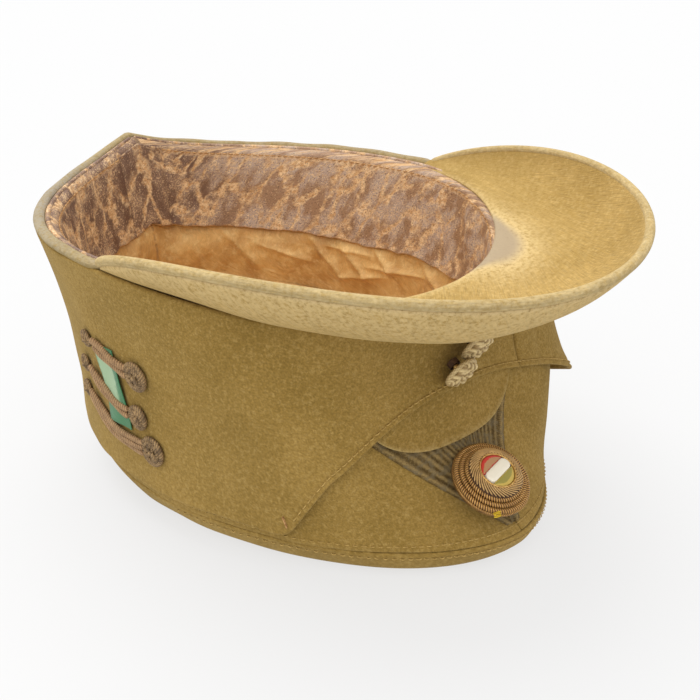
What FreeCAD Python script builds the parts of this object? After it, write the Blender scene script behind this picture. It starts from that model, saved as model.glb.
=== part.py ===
"""Army officer's field cap with a turned-up flap and a cloth peak, lying on its crown with the opening up.

+Z points out of the head opening, -Y is the wearer's front and -X the wearer's left. The crown's flat
top lies on z = 0. Angles round the head start at the front and are positive towards the wearer's right.
The cloth follows one guide surface through three horizontal outlines: rim, waist and crown seam.
"""
import FreeCAD
import Part
import math
import os
import Sketcher

Vector = FreeCAD.Vector

DIMENSIONS = {
    # rim outline, where the head goes in
    "rim_half_width": 87.8, "rim_front": 94.7, "rim_back": 100.8, "rim_middle": 2.1,
    "rim_front_power": 2.1, "rim_back_power": 2.15,
    "rim_front_height": 94.7, "rim_side_height": 109.3, "rim_back_height": 109.8,
    "back_point_reach": 3.6, "back_point_rise": 13.4, "back_point_spread": 0.35,
    # waist outline, halfway down
    "waist_half_width": 79.8, "waist_front": 95.3, "waist_back": 98.9, "waist_middle": -2.6,
    "waist_front_power": 2.25, "waist_back_power": 2.05, "waist_front_drop": 1.9,
    # outline of the crown seam
    "seam_half_width": 78.9, "seam_front": 128.5, "seam_back": 96.9, "seam_middle": -7.3,
    "seam_front_power": 1.84, "seam_back_power": 2.13,
    "seam_front_height": 10.9, "seam_side_height": 12.8, "seam_back_height": 25.8,
    "frame_shift": 25.76, "wall_run": 100.0,
    # cloth layers, as distances outwards from the guide surface
    "cloth_thickness": 2.0, "flap_thickness": 2.4, "layer_gap": 0.4,
    "tongue_inner": 1.3, "tongue_thickness": 1.3,
    "stiffener_outer": -2.4, "stiffener_thickness": 0.8, "lining_outer": -3.6, "lining_thickness": 0.8,
    "leather_outer": -4.7, "leather_thickness": 1.5,
    # flap
    "flap_corner_angle": 55.0, "flap_centre_reach": 0.37, "flap_corner_reach": 0.95,
    "right_corner_angle": 46.0, "right_corner_reach": 0.69, "right_side_angle": 95.0, "right_side_reach": 0.93,
    "flap_overlap_angle": 17.0, "flap_split_gap": 0.4, "cloth_start": 0.03, "cloth_start_front": 0.035,
    "flap_corner_lift": 10.0, "corner_spread": 13.0,
    # the soft front of the crown stands out at both corners, further on the wearer's right
    "belly_right": 18.0, "belly_left": 5.4, "belly_angle": 40.0, "belly_spread": 22.0, "belly_power": 0.85,
    "tongue_centre_angle": -6.5, "tongue_half_angle": 22.5, "tongue_reach": 0.595,
    # peak
    "peak_angle": 86.4, "peak_length": 63.8, "peak_outline_power": 0.74, "peak_forward_share": 0.49,
    "peak_front_rise": 17.7, "peak_side_rise": 38.7, "peak_rise_power": 1.7, "peak_camber": 9.9,
    "peak_cloth": 1.2, "peak_board": 1.3, "peak_roll_radius": 1.8,
    # sweatband and top
    "sweatband_reach": 0.44, "lining_reach": 0.71, "lining_sink": 12.0, "lining_level": 33.0,
    "top_roll_front": 9.8, "top_roll_slope": 1.5, "top_thickness": 2.0,
    # rank lace
    "lace_width": 19.0, "lace_inner": 0.2, "lace_thickness": 0.8,
    # cockade
    "cockade_reach": 0.805, "cockade_stand": 6.2, "cockade_tilt": 16.0, "cockade_turn": 10.0,
    "cockade_radius": 14.8, "backing_height": 1.2,
    "cord_radius": 0.95, "ring_outer": 13.7, "ring_step": 1.72, "core_radius": 9.1, "core_height": 4.0,
    "pleat_radius": 10.2, "pleat_hole": 7.4, "pleat_height": 1.6, "bezel_radius": 6.95, "bezel_wire": 0.4,
    "disc_radius": 6.4, "disc_height": 2.0, "bar_width": 4.6, "bar_height": 2.6,
    # buttons
    "button_radius": 7.0, "button_dome": 3.2, "button_stand": 4.6, "button_base_gap": 1.6, "shank_radius": 1.2,
    "thread_radius": 2.2, "running_clearance": 0.05,
    # side ornament
    "ribbon_thickness": 0.5, "bar_cord": 1.7,
    # thread
    "stitch_width": 0.9, "stitch_height": 0.5, "stitch_gap": 0.42, "stitch_inset": 0.028,
}


def make_sheet(doc):
    """Write every driving dimension into a spreadsheet, one aliased cell each."""
    sheet = doc.addObject("Spreadsheet::Sheet", "sizes")
    for row, (name, value) in enumerate(DIMENSIONS.items(), start=1):
        sheet.set("A%d" % row, name)
        sheet.set("B%d" % row, str(value))
        sheet.setAlias("B%d" % row, name)
    doc.recompute()
    return sheet


doc = FreeCAD.newDocument("field_cap")
sizes = make_sheet(doc)
parts = []


def size(name):
    return float(sizes.get(name))


def keep(obj, name):
    """Give a finished sub-part its own label and list it for writing."""
    obj.Label = name
    parts.append(obj)
    return obj


# ---------------------------------------------------------------- guide surface

def outline(level, angle):
    """Plan point of one outline: two half superellipses that meet at the sides."""
    sine, cosine = math.sin(angle), math.cos(angle)
    end = "front" if cosine >= 0 else "back"
    power = 2.0 / size("%s_%s_power" % (level, end))
    middle = size(level + "_middle")
    reach = -size(level + "_front") if end == "front" else size(level + "_back")
    x = size(level + "_half_width") * math.copysign(abs(sine) ** power, sine)
    y = middle + (reach - middle) * abs(cosine) ** power
    return x, y


def outline_height(level, angle):
    """Height of the rim or the seam, blended from side to front or back."""
    cosine = math.cos(angle)
    side = size(level + "_side_height")
    end = size(level + ("_front_height" if cosine > 0 else "_back_height"))
    return side + (end - side) * cosine * cosine


def rim(angle):
    x, y = outline("rim", angle)
    point = math.exp(-(math.pi - abs(angle)) / size("back_point_spread"))
    height = outline_height("rim", angle) + size("back_point_rise") * point
    return Vector(x, y + size("back_point_reach") * point, height)


def seam(angle):
    x, y = outline("seam", angle)
    return Vector(x, y, outline_height("seam", angle))


def waist(angle):
    x, y = outline("waist", angle)
    height = (rim(angle).z + seam(angle).z) / 2 - size("waist_front_drop") * max(math.cos(angle), 0)
    return Vector(x, y, height)


def outward(angle):
    return Vector(math.sin(angle), -math.cos(angle), 0)


def wall(degrees, down, offset=0.0):
    """Point of the guide surface: down runs from 0 at the rim to 1 at the crown seam."""
    angle = math.radians(degrees)
    top = 2 * (down - 0.5) * (down - 1)
    middle = -4 * down * (down - 1)
    bottom = 2 * down * (down - 0.5)
    point = rim(angle) * top + waist(angle) * middle + seam(angle) * bottom
    return point + outward(angle) * offset + Vector(0, size("frame_shift"), 0)


def belly(degrees, down):
    """How far the outer cloth stands out from the guide surface at the front corners of the crown."""
    right, left = (math.exp(-((degrees - side * size("belly_angle")) / size("belly_spread")) ** 2)
                   for side in (1, -1))
    swell = math.sin(math.pi * min(max(down, 0.0), 1.0) ** size("belly_power"))
    return (size("belly_right") * right + size("belly_left") * left) * swell


def cloth(degrees, down, offset=0.0):
    """Point of the outer cloth: the guide surface with the belly of the crown's front."""
    return wall(degrees, down, offset + belly(degrees, down))


def cloth_normal(degrees, down):
    """Outward unit normal of the outer cloth."""
    step = 0.5
    across = cloth(degrees + step, down) - cloth(degrees - step, down)
    along = cloth(degrees, down + 0.01) - cloth(degrees, down - 0.01)
    normal = along.cross(across)
    normal.normalize()
    return normal if normal.dot(outward(math.radians(degrees))) > 0 else normal * -1


def angle_at(x, down):
    """Angle on the front of the guide surface whose point has this x."""
    low, high = -89.0, 89.0
    while high - low > 0.01:
        half = (low + high) / 2
        if cloth(half, down).x < x:
            low = half
        else:
            high = half
    return (low + high) / 2


# ---------------------------------------------------------------- solids from curved sheets

def skin(rows):
    surface = Part.BSplineSurface()
    surface.interpolate(rows)
    return surface


def steps(start, stop, count):
    return [start + (stop - start) * i / (count - 1) for i in range(count)]


def slab_shape(place, across, along):
    """Solid between two skins: place(a, b, side) gives a point, with side 0 inside and 1 outside."""
    grids = [[[place(a, b, side) for b in along] for a in across] for side in (0, 1)]
    inner, outer = (skin(grid) for grid in grids)
    faces = [inner.toShape(), outer.toShape()]
    first, last = inner.bounds()[0], inner.bounds()[1]
    low, high = inner.bounds()[2], inner.bounds()[3]
    for pick in ((lambda s, v: s.uIso(v), first), (lambda s, v: s.uIso(v), last),
                 (lambda s, v: s.vIso(v), low), (lambda s, v: s.vIso(v), high)):
        edges = [pick[0](surface, pick[1]).toShape() for surface in (inner, outer)]
        faces.append(Part.makeRuledSurface(edges[0], edges[1]))
    return solid_from(faces)


def solid_from(faces):
    shell = Part.makeShell(faces)
    shell.sewShape()
    solid = Part.makeSolid(Part.Shell(shell.Faces))
    if solid.Volume < 0:
        solid.reverse()
    return solid


def feature(name, shape):
    obj = doc.addObject("Part::Feature", name)
    obj.Shape = shape
    return keep(obj, name)


def wall_slab(name, angles, reach, inside, outside, rows=7, surface=cloth):
    """Layer on a surface. reach(angle) gives its top and bottom; inside and outside its offsets."""
    def place(degrees, share, side):
        top, bottom = reach(degrees)
        down = top + (bottom - top) * share
        offset = outside(degrees, down) if side else inside(degrees, down)
        return surface(degrees, down, offset)
    return feature(name, slab_shape(place, angles, steps(0, 1, rows)))


def patch(name, corners, inside, outside, counts=(9, 4), surface=cloth):
    """Flat trim laid on a surface between four (angle, down) corners."""
    first, second, third, fourth = corners

    def place(a, b, side):
        left = [first[i] + (second[i] - first[i]) * a for i in (0, 1)]
        right = [fourth[i] + (third[i] - fourth[i]) * a for i in (0, 1)]
        degrees, down = (left[i] + (right[i] - left[i]) * b for i in (0, 1))
        return surface(degrees, down, outside if side else inside)
    return feature(name, slab_shape(place, steps(0, 1, counts[0]), steps(0, 1, counts[1])))


def strip(name, route, width, low, thickness, count=25, surface=cloth):
    """Narrow row on a surface: route(share) gives angle, down and the surface's offset there."""
    half = width / 2 / size("wall_run")

    def place(share, across, side):
        degrees, down, base = route(share)
        return surface(degrees, down + half * (2 * across - 1), base + low + thickness * side)
    return feature(name, slab_shape(place, steps(0, 1, count), steps(0, 1, 3)))


def rod(name, centres, radii):
    """Bead with an elliptic section, lofted along a row of centres. radii is (level, upright)."""
    sections = []
    for index, centre in enumerate(centres):
        ahead = centres[min(index + 1, len(centres) - 1)] - centres[max(index - 1, 0)]
        ahead.z = 0
        ahead.normalize()
        level = ahead.cross(Vector(0, 0, 1))
        ring = [centre + level * (radii[0] * math.cos(turn)) + Vector(0, 0, radii[1] * math.sin(turn))
                for turn in steps(0, 2 * math.pi, 13)[:-1]]
        curve = Part.BSplineCurve()
        curve.interpolate(ring, PeriodicFlag=True)
        sections.append(Part.Wire(curve.toShape()))
    return feature(name, Part.makeLoft(sections, True, False))


# ---------------------------------------------------------------- crown, lining and sweatband

BACK_GAP = 0.12
HALF_TURN = 180.0 - BACK_GAP


def cloth_top(degrees):
    """Where the side cloth begins below the rim: lower at the front, under the peak."""
    return size("cloth_start") + size("cloth_start_front") * max(math.cos(math.radians(degrees)), 0)


def make_crown():
    thickness = size("cloth_thickness")
    for name, start, stop in (("crown_left_panel", -HALF_TURN, -BACK_GAP),
                              ("crown_right_panel", BACK_GAP, HALF_TURN)):
        wall_slab(name, steps(start, stop, 25), lambda degrees: (cloth_top(degrees), 0.985),
                  lambda degrees, down: -thickness, lambda degrees, down: 0.0)
    outer = size("stiffener_outer")
    wall_slab("front_stiffener", steps(-48, 48, 13), lambda degrees: (0.10, 0.92),
              lambda degrees, down: outer - size("stiffener_thickness"), lambda degrees, down: outer)


def top_roll(angle):
    return size("top_roll_front") + size("top_roll_slope") * (seam(angle).z - size("seam_front_height"))


def top_point(angle, share, inside):
    """Point of the crown top's rolled edge, from the seam at share 0 to the flat at share 1."""
    edge = seam(angle)
    thickness = size("top_thickness")
    fall = math.sin(share * math.pi / 2)
    reach = top_roll(angle) * share
    height = edge.z * (1 - fall)
    if inside:
        reach = thickness * 1.1 + (top_roll(angle) - thickness / 2) * share
        height = thickness + (edge.z - thickness) * (1 - fall)
    point = edge - outward(angle) * reach + Vector(0, size("frame_shift"), 0)
    return Vector(point.x, point.y, height)


def dished_panel(name, point):
    """Round panel with a curved border and a flat middle. point(angle, share, inside) gives the border."""
    turns = steps(-math.pi, math.pi, 49)
    skins = [skin([[point(turn, share, inside) for share in steps(0, 1, 10)] for turn in turns])
             for inside in (False, True)]
    faces = [surface.toShape() for surface in skins]
    rims = [surface.vIso(surface.bounds()[2]).toShape() for surface in skins]
    faces.append(Part.makeRuledSurface(rims[0], rims[1]))
    for surface in skins:
        edge = surface.vIso(surface.bounds()[3]).toShape()
        faces.append(Part.Face(Part.Wire(edge)))
    feature(name, solid_from(faces))


def lining_point(angle, share, inside):
    """Border of the lining's top, which hangs slack below the lining's wall."""
    edge = wall(math.degrees(angle), size("lining_reach") + 0.025, size("lining_outer"))
    level = size("lining_level")
    height = level + (edge.z - level) * (1 - math.sin(share * math.pi / 2))
    point = edge - outward(angle) * (size("lining_sink") * share)
    return Vector(point.x, point.y, height + (size("lining_thickness") if inside else 0))


def make_lining():
    outer = size("lining_outer")
    wall_slab("lining_wall", steps(-HALF_TURN, HALF_TURN, 49), lambda degrees: (0.05, size("lining_reach")),
              lambda degrees, down: outer - size("lining_thickness"), lambda degrees, down: outer,
              surface=wall)
    dished_panel("lining_top", lining_point)


def make_sweatband():
    outer = size("leather_outer")
    inner = outer - size("leather_thickness")
    wall_slab("sweatband", steps(-HALF_TURN, HALF_TURN, 49), lambda degrees: (0.0, size("sweatband_reach")),
              lambda degrees, down: inner, lambda degrees, down: outer, surface=wall)
    patch("sweatband_join_strip", ((172, 0.06), (179.3, 0.06), (179.3, 0.42), (172, 0.42)),
          inner - 1.3, inner - 0.3, surface=wall)
    rod("sweatband_reed", [wall(degrees, -0.004, -3.2) for degrees in steps(-178, 178, 61)], (0.9, 0.9))
    strip("sweatband_stitching", lambda share: (-178 + 356 * share, 0.035, inner), size("stitch_width"),
          -0.3 - size("stitch_height"), size("stitch_height"), 49, wall)


def make_rim_fold():
    """Rounded fold where the cloth turns up round the opening, from one end of the peak round the back."""
    start = size("peak_angle") + 2
    degrees = steps(start, 360 - start, 41)
    centres = [wall(d if d <= 180 else d - 360, 0.0, 0.6) for d in degrees]
    rod("rim_fold", centres, (2.4, 1.6))


# ---------------------------------------------------------------- flap

def flap_bottom(degrees):
    """The free edge dips from the front centre to a corner each side and runs on round the back."""
    centre = size("flap_centre_reach")
    if degrees <= 0:
        share = min(-degrees / size("flap_corner_angle"), 1.0)
        return centre + (size("flap_corner_reach") - centre) * share ** 2
    corner, side = size("right_corner_angle"), size("right_side_angle")
    share = min(degrees / corner, 1.0)
    behind = min(max((degrees - corner) / (side - corner), 0.0), 1.0)
    return (centre + (size("right_corner_reach") - centre) * share ** 1.8
            + (size("right_side_reach") - size("right_corner_reach")) * behind * (2 - behind))


def front_bulge(degrees):
    """The flap lies over the tongue at the front."""
    off_centre = (degrees - size("tongue_centre_angle")) / (size("tongue_half_angle") * 1.45)
    return (size("tongue_inner") + size("tongue_thickness")) * max(0.0, 1 - off_centre ** 8)


def corner_lift(degrees, down):
    """The wearer's right front corner of the flap stands away from the crown."""
    near = math.exp(-((degrees - size("right_corner_angle")) / size("corner_spread")) ** 2)
    low = size("flap_centre_reach")
    share = min(max(0.0, (down - low) / (size("right_corner_reach") - low)), 1.0)
    return size("flap_corner_lift") * near * share * share


def flap_inside(degrees, down):
    return size("layer_gap") + front_bulge(degrees)


def flap_inside_right(degrees, down):
    return flap_inside(degrees, down) + corner_lift(degrees, down)


def make_flap():
    split = size("flap_overlap_angle")
    corner, corner_right = size("flap_corner_angle"), size("right_corner_angle")
    thickness = size("flap_thickness")
    left = steps(-HALF_TURN, -corner, 16) + steps(-corner, split, 15)[1:]
    right = (steps(split + size("flap_split_gap"), corner_right, 9)
             + steps(corner_right, HALF_TURN, 24)[1:])
    for name, angles, inside in (("flap_left", left, flap_inside), ("flap_right", right, flap_inside_right)):
        wall_slab(name, angles, lambda degrees: (cloth_top(degrees), flap_bottom(degrees)),
                  inside, lambda degrees, down, inside=inside: inside(degrees, down) + thickness, rows=8)

    def tongue_reach(degrees):
        off_centre = abs(degrees - size("tongue_centre_angle")) / size("tongue_half_angle")
        return 0.25 + (size("tongue_reach") - 0.25) * max(0.0, 1 - off_centre ** 3) ** (1 / 3)
    limit = size("tongue_half_angle") * 0.985
    centre = size("tongue_centre_angle")
    wall_slab("flap_tongue", [centre + limit * math.sin(t) for t in steps(-math.pi / 2, math.pi / 2, 17)],
              lambda degrees: (0.12, tongue_reach(degrees)), lambda degrees, down: size("tongue_inner"),
              lambda degrees, down: size("tongue_inner") + size("tongue_thickness"), rows=6)

    def edge_row(side, inside):
        def route(share):
            degrees = side * (2.0 + ((corner if side < 0 else corner_right) - 4.0) * share)
            down = flap_bottom(degrees) - size("stitch_inset")
            return degrees, down, inside(degrees, down) + thickness
        return route
    for name, side, inside in (("flap_edge_stitching_left", -1, flap_inside),
                               ("flap_edge_stitching_right", 1, flap_inside_right)):
        strip(name, edge_row(side, inside), size("stitch_width"), size("stitch_gap"), size("stitch_height"))
    strip("crown_seam_stitching", lambda share: ((2 * share - 1) * (corner - 1), 0.979, 0.0),
          size("stitch_width"), size("stitch_gap"), size("stitch_height"))


# ---------------------------------------------------------------- peak

def peak_point(degrees, share, lift):
    """Point of the peak: share runs from the rim to the free edge, lift is measured towards the opening."""
    angle = math.radians(degrees)
    turn = min(abs(degrees) / size("peak_angle"), 1.0)
    fade = math.cos(math.pi / 2 * turn)
    length = size("peak_length") * max(fade, 1e-6) ** size("peak_outline_power")
    rise = math.radians(size("peak_front_rise")
                        + (size("peak_side_rise") - size("peak_front_rise")) * turn ** size("peak_rise_power"))
    forward = size("peak_forward_share")
    level = outward(angle) * (1 - forward) + Vector(0, -1, 0) * forward
    level.normalize()
    along = level * math.cos(rise) + Vector(0, 0, math.sin(rise))
    upright = level * -math.sin(rise) + Vector(0, 0, math.cos(rise))
    sag = size("peak_camber") * 4 * share * (1 - share) * fade
    return wall(degrees, 0.0) + along * (length * share) + upright * (lift - sag)


def peak_length_at(degrees):
    return (peak_point(degrees, 1, 0) - peak_point(degrees, 0, 0)).Length


def make_peak():
    cloth, board, roll = size("peak_cloth"), size("peak_board"), size("peak_roll_radius")
    angles = [80 * math.sin(t) for t in steps(-math.pi / 2, math.pi / 2, 31)]
    gap = 0.2
    layers = (("peak_top_cloth", -cloth - gap, -gap, 0.4), ("peak_board", 0.0, board, 1.2),
              ("peak_underside_cloth", board + gap, board + gap + cloth, 0.4))
    for name, low, high, inset in layers:
        def place(degrees, share, side, low=low, high=high, inset=inset):
            length = peak_length_at(degrees)
            slant = 1 + 1.6 * (abs(degrees) / size("peak_angle")) ** 4
            start, stop = 1.2 / length, 1 - (roll + inset) * slant / length
            return peak_point(degrees, start + (stop - start) * share, high if side else low)
        feature(name, slab_shape(place, angles, steps(0, 1, 6)))
    edge = [peak_point(85.5 * math.sin(t), 1, board / 2) for t in steps(-math.pi / 2, math.pi / 2, 45)]
    rod("peak_edge_roll", edge, (roll, roll))


# ---------------------------------------------------------------- rank lace

def make_lace():
    """Two strips of lace that meet in a point at the front of the crown seam."""
    tip, centre = 0.968, -2.2
    arms = (("rank_lace_left", (centre - 0.15, tip), (-43.5, 0.505)),
            ("rank_lace_right", (centre + 0.15, tip + 0.012), (30.5, 0.42)))
    for name, start, end in arms:
        run = Vector(end[0] - start[0], (end[1] - start[1]) * size("wall_run"), 0).normalize()
        side = 1 if run.x > 0 else -1
        width = size("lace_width")
        inner_end = (end[0] + side * run.y * width, end[1] - side * run.x * width / size("wall_run"))
        fall = (inner_end[0] - start[0]) / run.x * -run.y / size("wall_run")
        plan = (start, end, inner_end, (start[0], inner_end[1] + fall))
        corners = [(angle_at(x, down), down) for x, down in plan]
        patch(name, corners, size("lace_inner"), size("lace_inner") + size("lace_thickness"), (13, 4))


# ---------------------------------------------------------------- round pieces made as bodies

def on_wall(degrees, down, stand):
    """Placement on the outer cloth with its Z along the outward normal."""
    normal = cloth_normal(degrees, down)
    return FreeCAD.Placement(cloth(degrees, down) + normal * stand,
                             FreeCAD.Rotation(Vector(0, 0, 1), normal))


def raised(placement, height):
    return placement.multiply(FreeCAD.Placement(Vector(0, 0, height), FreeCAD.Rotation()))


def origin_plane(body, role):
    return next(item for item in body.Origin.OriginFeatures if item.Role == role)


def new_body(name, placement):
    body = doc.addObject("PartDesign::Body", name)
    body.Placement = placement
    return keep(body, name)


def disc(name, placement, radius, height, hole=None):
    """Flat round piece: a circle, with a second one inside it for a ring, padded."""
    body = new_body(name, placement)
    sketch = body.newObject("Sketcher::SketchObject", name + "_sketch")
    sketch.AttachmentSupport = [(origin_plane(body, "XY_Plane"), "")]
    sketch.MapMode = "FlatFace"
    for index, alias in enumerate([radius] + ([hole] if hole else [])):
        sketch.addGeometry(Part.Circle(Vector(0, 0, 0), Vector(0, 0, 1), size(alias)), False)
        sketch.addConstraint(Sketcher.Constraint("Coincident", index, 3, -1, 1))
        number = sketch.addConstraint(Sketcher.Constraint("Radius", index, size(alias)))
        sketch.setExpression("Constraints[%d]" % number, "sizes." + alias)
    pad = body.newObject("PartDesign::Pad", name + "_pad")
    pad.Profile = sketch
    pad.setExpression("Length", "sizes." + height)
    return body


def dome(name, placement, radius, height):
    """Cap of a ball turned round the placement's Z axis. radius and height are cell names."""
    wide, high = size(radius), size(height)
    body = new_body(name, placement)
    sketch = body.newObject("Sketcher::SketchObject", name + "_sketch")
    sketch.AttachmentSupport = [(origin_plane(body, "XZ_Plane"), "")]
    sketch.MapMode = "FlatFace"
    ball = (wide * wide + high * high) / (2 * high)
    start = math.atan2(ball - high, wide)
    arc = Part.ArcOfCircle(Part.Circle(Vector(0, high - ball, 0), Vector(0, 0, 1), ball), start, math.pi / 2)
    sketch.addGeometry(Part.LineSegment(Vector(0, 0, 0), Vector(wide, 0, 0)), False)
    sketch.addGeometry(arc, False)
    sketch.addGeometry(Part.LineSegment(Vector(0, high, 0), Vector(0, 0, 0)), False)
    for rule in (("Coincident", 0, 2, 1, 1), ("Coincident", 1, 2, 2, 1), ("Coincident", 2, 2, 0, 1),
                 ("Coincident", 0, 1, -1, 1), ("Horizontal", 0), ("Vertical", 2), ("PointOnObject", 1, 3, -2)):
        sketch.addConstraint(Sketcher.Constraint(*rule))
    for geometry, axis, alias, value in ((0, "DistanceX", radius, wide), (2, "DistanceY", height, -high)):
        first, second = (1, 2) if geometry == 0 else (2, 1)
        number = sketch.addConstraint(Sketcher.Constraint(axis, geometry, first, geometry, second, abs(value)))
        sketch.setExpression("Constraints[%d]" % number, "sizes." + alias)
    turn = body.newObject("PartDesign::Revolution", name + "_turn")
    turn.Profile = sketch
    turn.ReferenceAxis = (sketch, ["V_Axis"])
    turn.Angle = 360
    return body


def ring(name, placement, radius_rule, wire):
    """Cord or wire bent into a circle."""
    torus = doc.addObject("Part::Torus", name)
    torus.setExpression("Radius1", radius_rule)
    torus.setExpression("Radius2", "sizes." + wire)
    torus.Placement = placement
    return keep(torus, name)


def make_cockade():
    """Domed cord cockade: three corded rings on a backing, a pleated collar and a three-part centre."""
    lean = FreeCAD.Rotation(Vector(1, 0, 0), -size("cockade_tilt"))
    turn = FreeCAD.Rotation(Vector(0, 0, 1), size("cockade_turn"))
    base = on_wall(-3.7, size("cockade_reach"), size("cockade_stand"))
    base = base.multiply(FreeCAD.Placement(Vector(0, 0, 0), lean.multiply(turn)))
    backing = size("backing_height")
    cord = size("cord_radius")
    disc("cockade_backing", base, "cockade_radius", "backing_height")
    disc("cockade_core", raised(base, backing + 0.1), "core_radius", "core_height")
    heights = (backing + cord + 0.05, backing + cord + 0.95, backing + cord + 1.9)
    for index, height in enumerate(heights):
        ring("cockade_cord_ring_%d" % (index + 1), raised(base, height),
             "sizes.ring_outer - %d * sizes.ring_step" % index, "cord_radius")
    collar = backing + size("core_height") + 0.2
    disc("cockade_pleated_collar", raised(base, collar), "pleat_radius", "pleat_height", "pleat_hole")
    ring("cockade_bezel", raised(base, collar + 1.3), "sizes.bezel_radius", "bezel_wire")
    for name, low, height in (("cockade_red_field", 0.5, "disc_height"),
                              ("cockade_white_bar", 0.0, "bar_height"),
                              ("cockade_green_field", -0.5, "disc_height")):
        tricolour_field(name, raised(base, collar), low, height)


def tricolour_field(name, placement, side, height):
    """One part of the round centre: the bar across the middle, or the field on one side of it."""
    disc_part = doc.addObject("Part::Cylinder", name + "_round")
    disc_part.setExpression("Radius", "sizes.disc_radius")
    disc_part.setExpression("Height", "sizes." + height)
    cutter = doc.addObject("Part::Box", name + "_limits")
    width = size("bar_width") if side == 0 else size("disc_radius")
    cutter.Length = 4 * size("disc_radius")
    cutter.Width = width
    cutter.setExpression("Height", "sizes." + height)
    offset = -width / 2
    if side:
        offset = size("bar_width") / 2 + 0.1 if side > 0 else -size("bar_width") / 2 - 0.1 - width
    cutter.Placement.Base = Vector(-2 * size("disc_radius"), offset, 0)
    common = doc.addObject("Part::Common", name)
    common.Base = disc_part
    common.Tool = cutter
    common.Placement = placement
    keep(common, name)


# side, angle round the head, reach down the wall, droop below the cloth's normal
BUTTONS = (("left", -3.06, 0.250, 34.0), ("right", 0.73, 0.151, 27.0))


def make_buttons():
    """Two shank buttons that fasten the flap; each turns on its own shank in a wound thread collar."""
    surface = flap_inside(0, 0) + size("flap_thickness")
    for side, degrees, down, droop in BUTTONS:
        lean = FreeCAD.Placement(Vector(0, 0, 0), FreeCAD.Rotation(Vector(1, 0, 0), droop))
        base = on_wall(degrees, down, surface + size("button_base_gap")).multiply(lean)
        disc("button_%s_thread_collar" % side, base, "thread_radius", "collar_height", "collar_hole")
        disc("button_%s_shank" % side, raised(base, 0.1), "shank_radius", "shank_height")
        dome("button_%s_dome" % side, raised(base, size("button_stand")), "button_radius", "button_dome")
        centre = base.Base
        normal = base.Rotation.multVec(Vector(0, 0, 1))
        print("button_%s axis through %.3f %.3f %.3f along %.4f %.4f %.4f"
              % ((side,) + tuple(centre) + tuple(normal)))


# ---------------------------------------------------------------- side ornament

FRONT_KNOTS = (("upper", -84.5, 0.43, "knot_large"), ("middle", -87.2, 0.625, "knot_medium"),
               ("lower", -84.5, 0.755, "knot_large"))
REAR_KNOTS = (("upper", -100.5, 0.37, "knot_small"), ("middle", -106.0, 0.52, "knot_small"),
              ("lower", -109.5, 0.665, "knot_small"))


def make_ornament():
    """Green ribbon under three corded bars, each with a knot at both ends."""
    surface = size("layer_gap") + size("flap_thickness")
    ribbon = surface + 0.3
    patch("ornament_ribbon", ((-97.5, 0.365), (-90.2, 0.365), (-91.0, 0.70), (-98.4, 0.70)),
          ribbon, ribbon + size("ribbon_thickness"))
    for group, knots in (("front", FRONT_KNOTS), ("rear", REAR_KNOTS)):
        for place, degrees, down, alias in knots:
            dome("ornament_%s_knot_%s" % (group, place), on_wall(degrees, down, surface + 0.5),
                 alias, alias + "_rise")
    lift = ribbon + size("ribbon_thickness") + 0.3
    for (place, front_angle, front_down, _), (_, rear_angle, rear_down, _), bow in zip(
            FRONT_KNOTS, REAR_KNOTS, (0.0, 0.02, 0.035)):
        start, stop = front_angle - 5.2, rear_angle + 4.4

        def place_bar(share, across, side, start=start, stop=stop, bow=bow,
                      first=front_down, last=rear_down):
            down = first + (last - first) * share + bow * 4 * share * (1 - share) + 0.05 * (across - 0.5)
            return cloth(start + (stop - start) * share, down, lift + size("bar_cord") * side)
        feature("ornament_bar_" + place, slab_shape(place_bar, steps(0, 1, 9), steps(0, 1, 3)))


def add_derived_sizes():
    """Sizes that follow from the others, as formulas in the sheet."""
    row = len(DIMENSIONS) + 1
    for name, formula in (("collar_hole", "=shank_radius + running_clearance"),
                          ("collar_height", "=button_stand * 0.5"),
                          ("shank_height", "=button_stand - 0.1"),
                          ("knot_large", "=6.2"), ("knot_large_rise", "=knot_large * 0.75"),
                          ("knot_medium", "=5.2"), ("knot_medium_rise", "=knot_medium * 0.75"),
                          ("knot_small", "=3.7"), ("knot_small_rise", "=knot_small * 0.8")):
        sizes.set("A%d" % row, name)
        sizes.set("B%d" % row, formula)
        sizes.setAlias("B%d" % row, name)
        row += 1
    doc.recompute()


def write_parts():
    """Check every object, then write one STEP file for each sub-part."""
    doc.recompute()
    for obj in doc.Objects:
        if "Invalid" in obj.State or "Error" in obj.State:
            raise RuntimeError("failed: %s %s" % (obj.Label, obj.State))
    for obj in parts:
        if obj.Shape.isNull() or not obj.Shape.isValid():
            raise RuntimeError("bad shape: " + obj.Label)
    os.makedirs("parts", exist_ok=True)
    for obj in parts:
        obj.Shape.exportStep(os.path.join("parts", obj.Label + ".step"))
    boxes = [obj.Shape.BoundBox for obj in parts]
    print("%d parts" % len(parts))
    print("x %.2f %.2f" % (min(b.XMin for b in boxes), max(b.XMax for b in boxes)))
    print("y %.2f %.2f" % (min(b.YMin for b in boxes), max(b.YMax for b in boxes)))
    print("z %.2f %.2f" % (min(b.ZMin for b in boxes), max(b.ZMax for b in boxes)))


add_derived_sizes()
make_crown()
dished_panel("crown_top_panel", top_point)
make_lining()
make_sweatband()
make_rim_fold()
make_flap()
make_peak()
make_lace()
make_cockade()
make_buttons()
make_ornament()
write_parts()
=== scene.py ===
"""Looks of the officer's field cap that lies on its crown with the opening up.

Every soft piece is built again on the cap's guide surface, with the cloth's thickness, folds, seams and
stitches, and takes the place of its plain CAD solid. Lengths are in millimetres until a mesh is made.
"""
import math

import bpy
import numpy as np
from mathutils import Matrix, Vector


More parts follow.
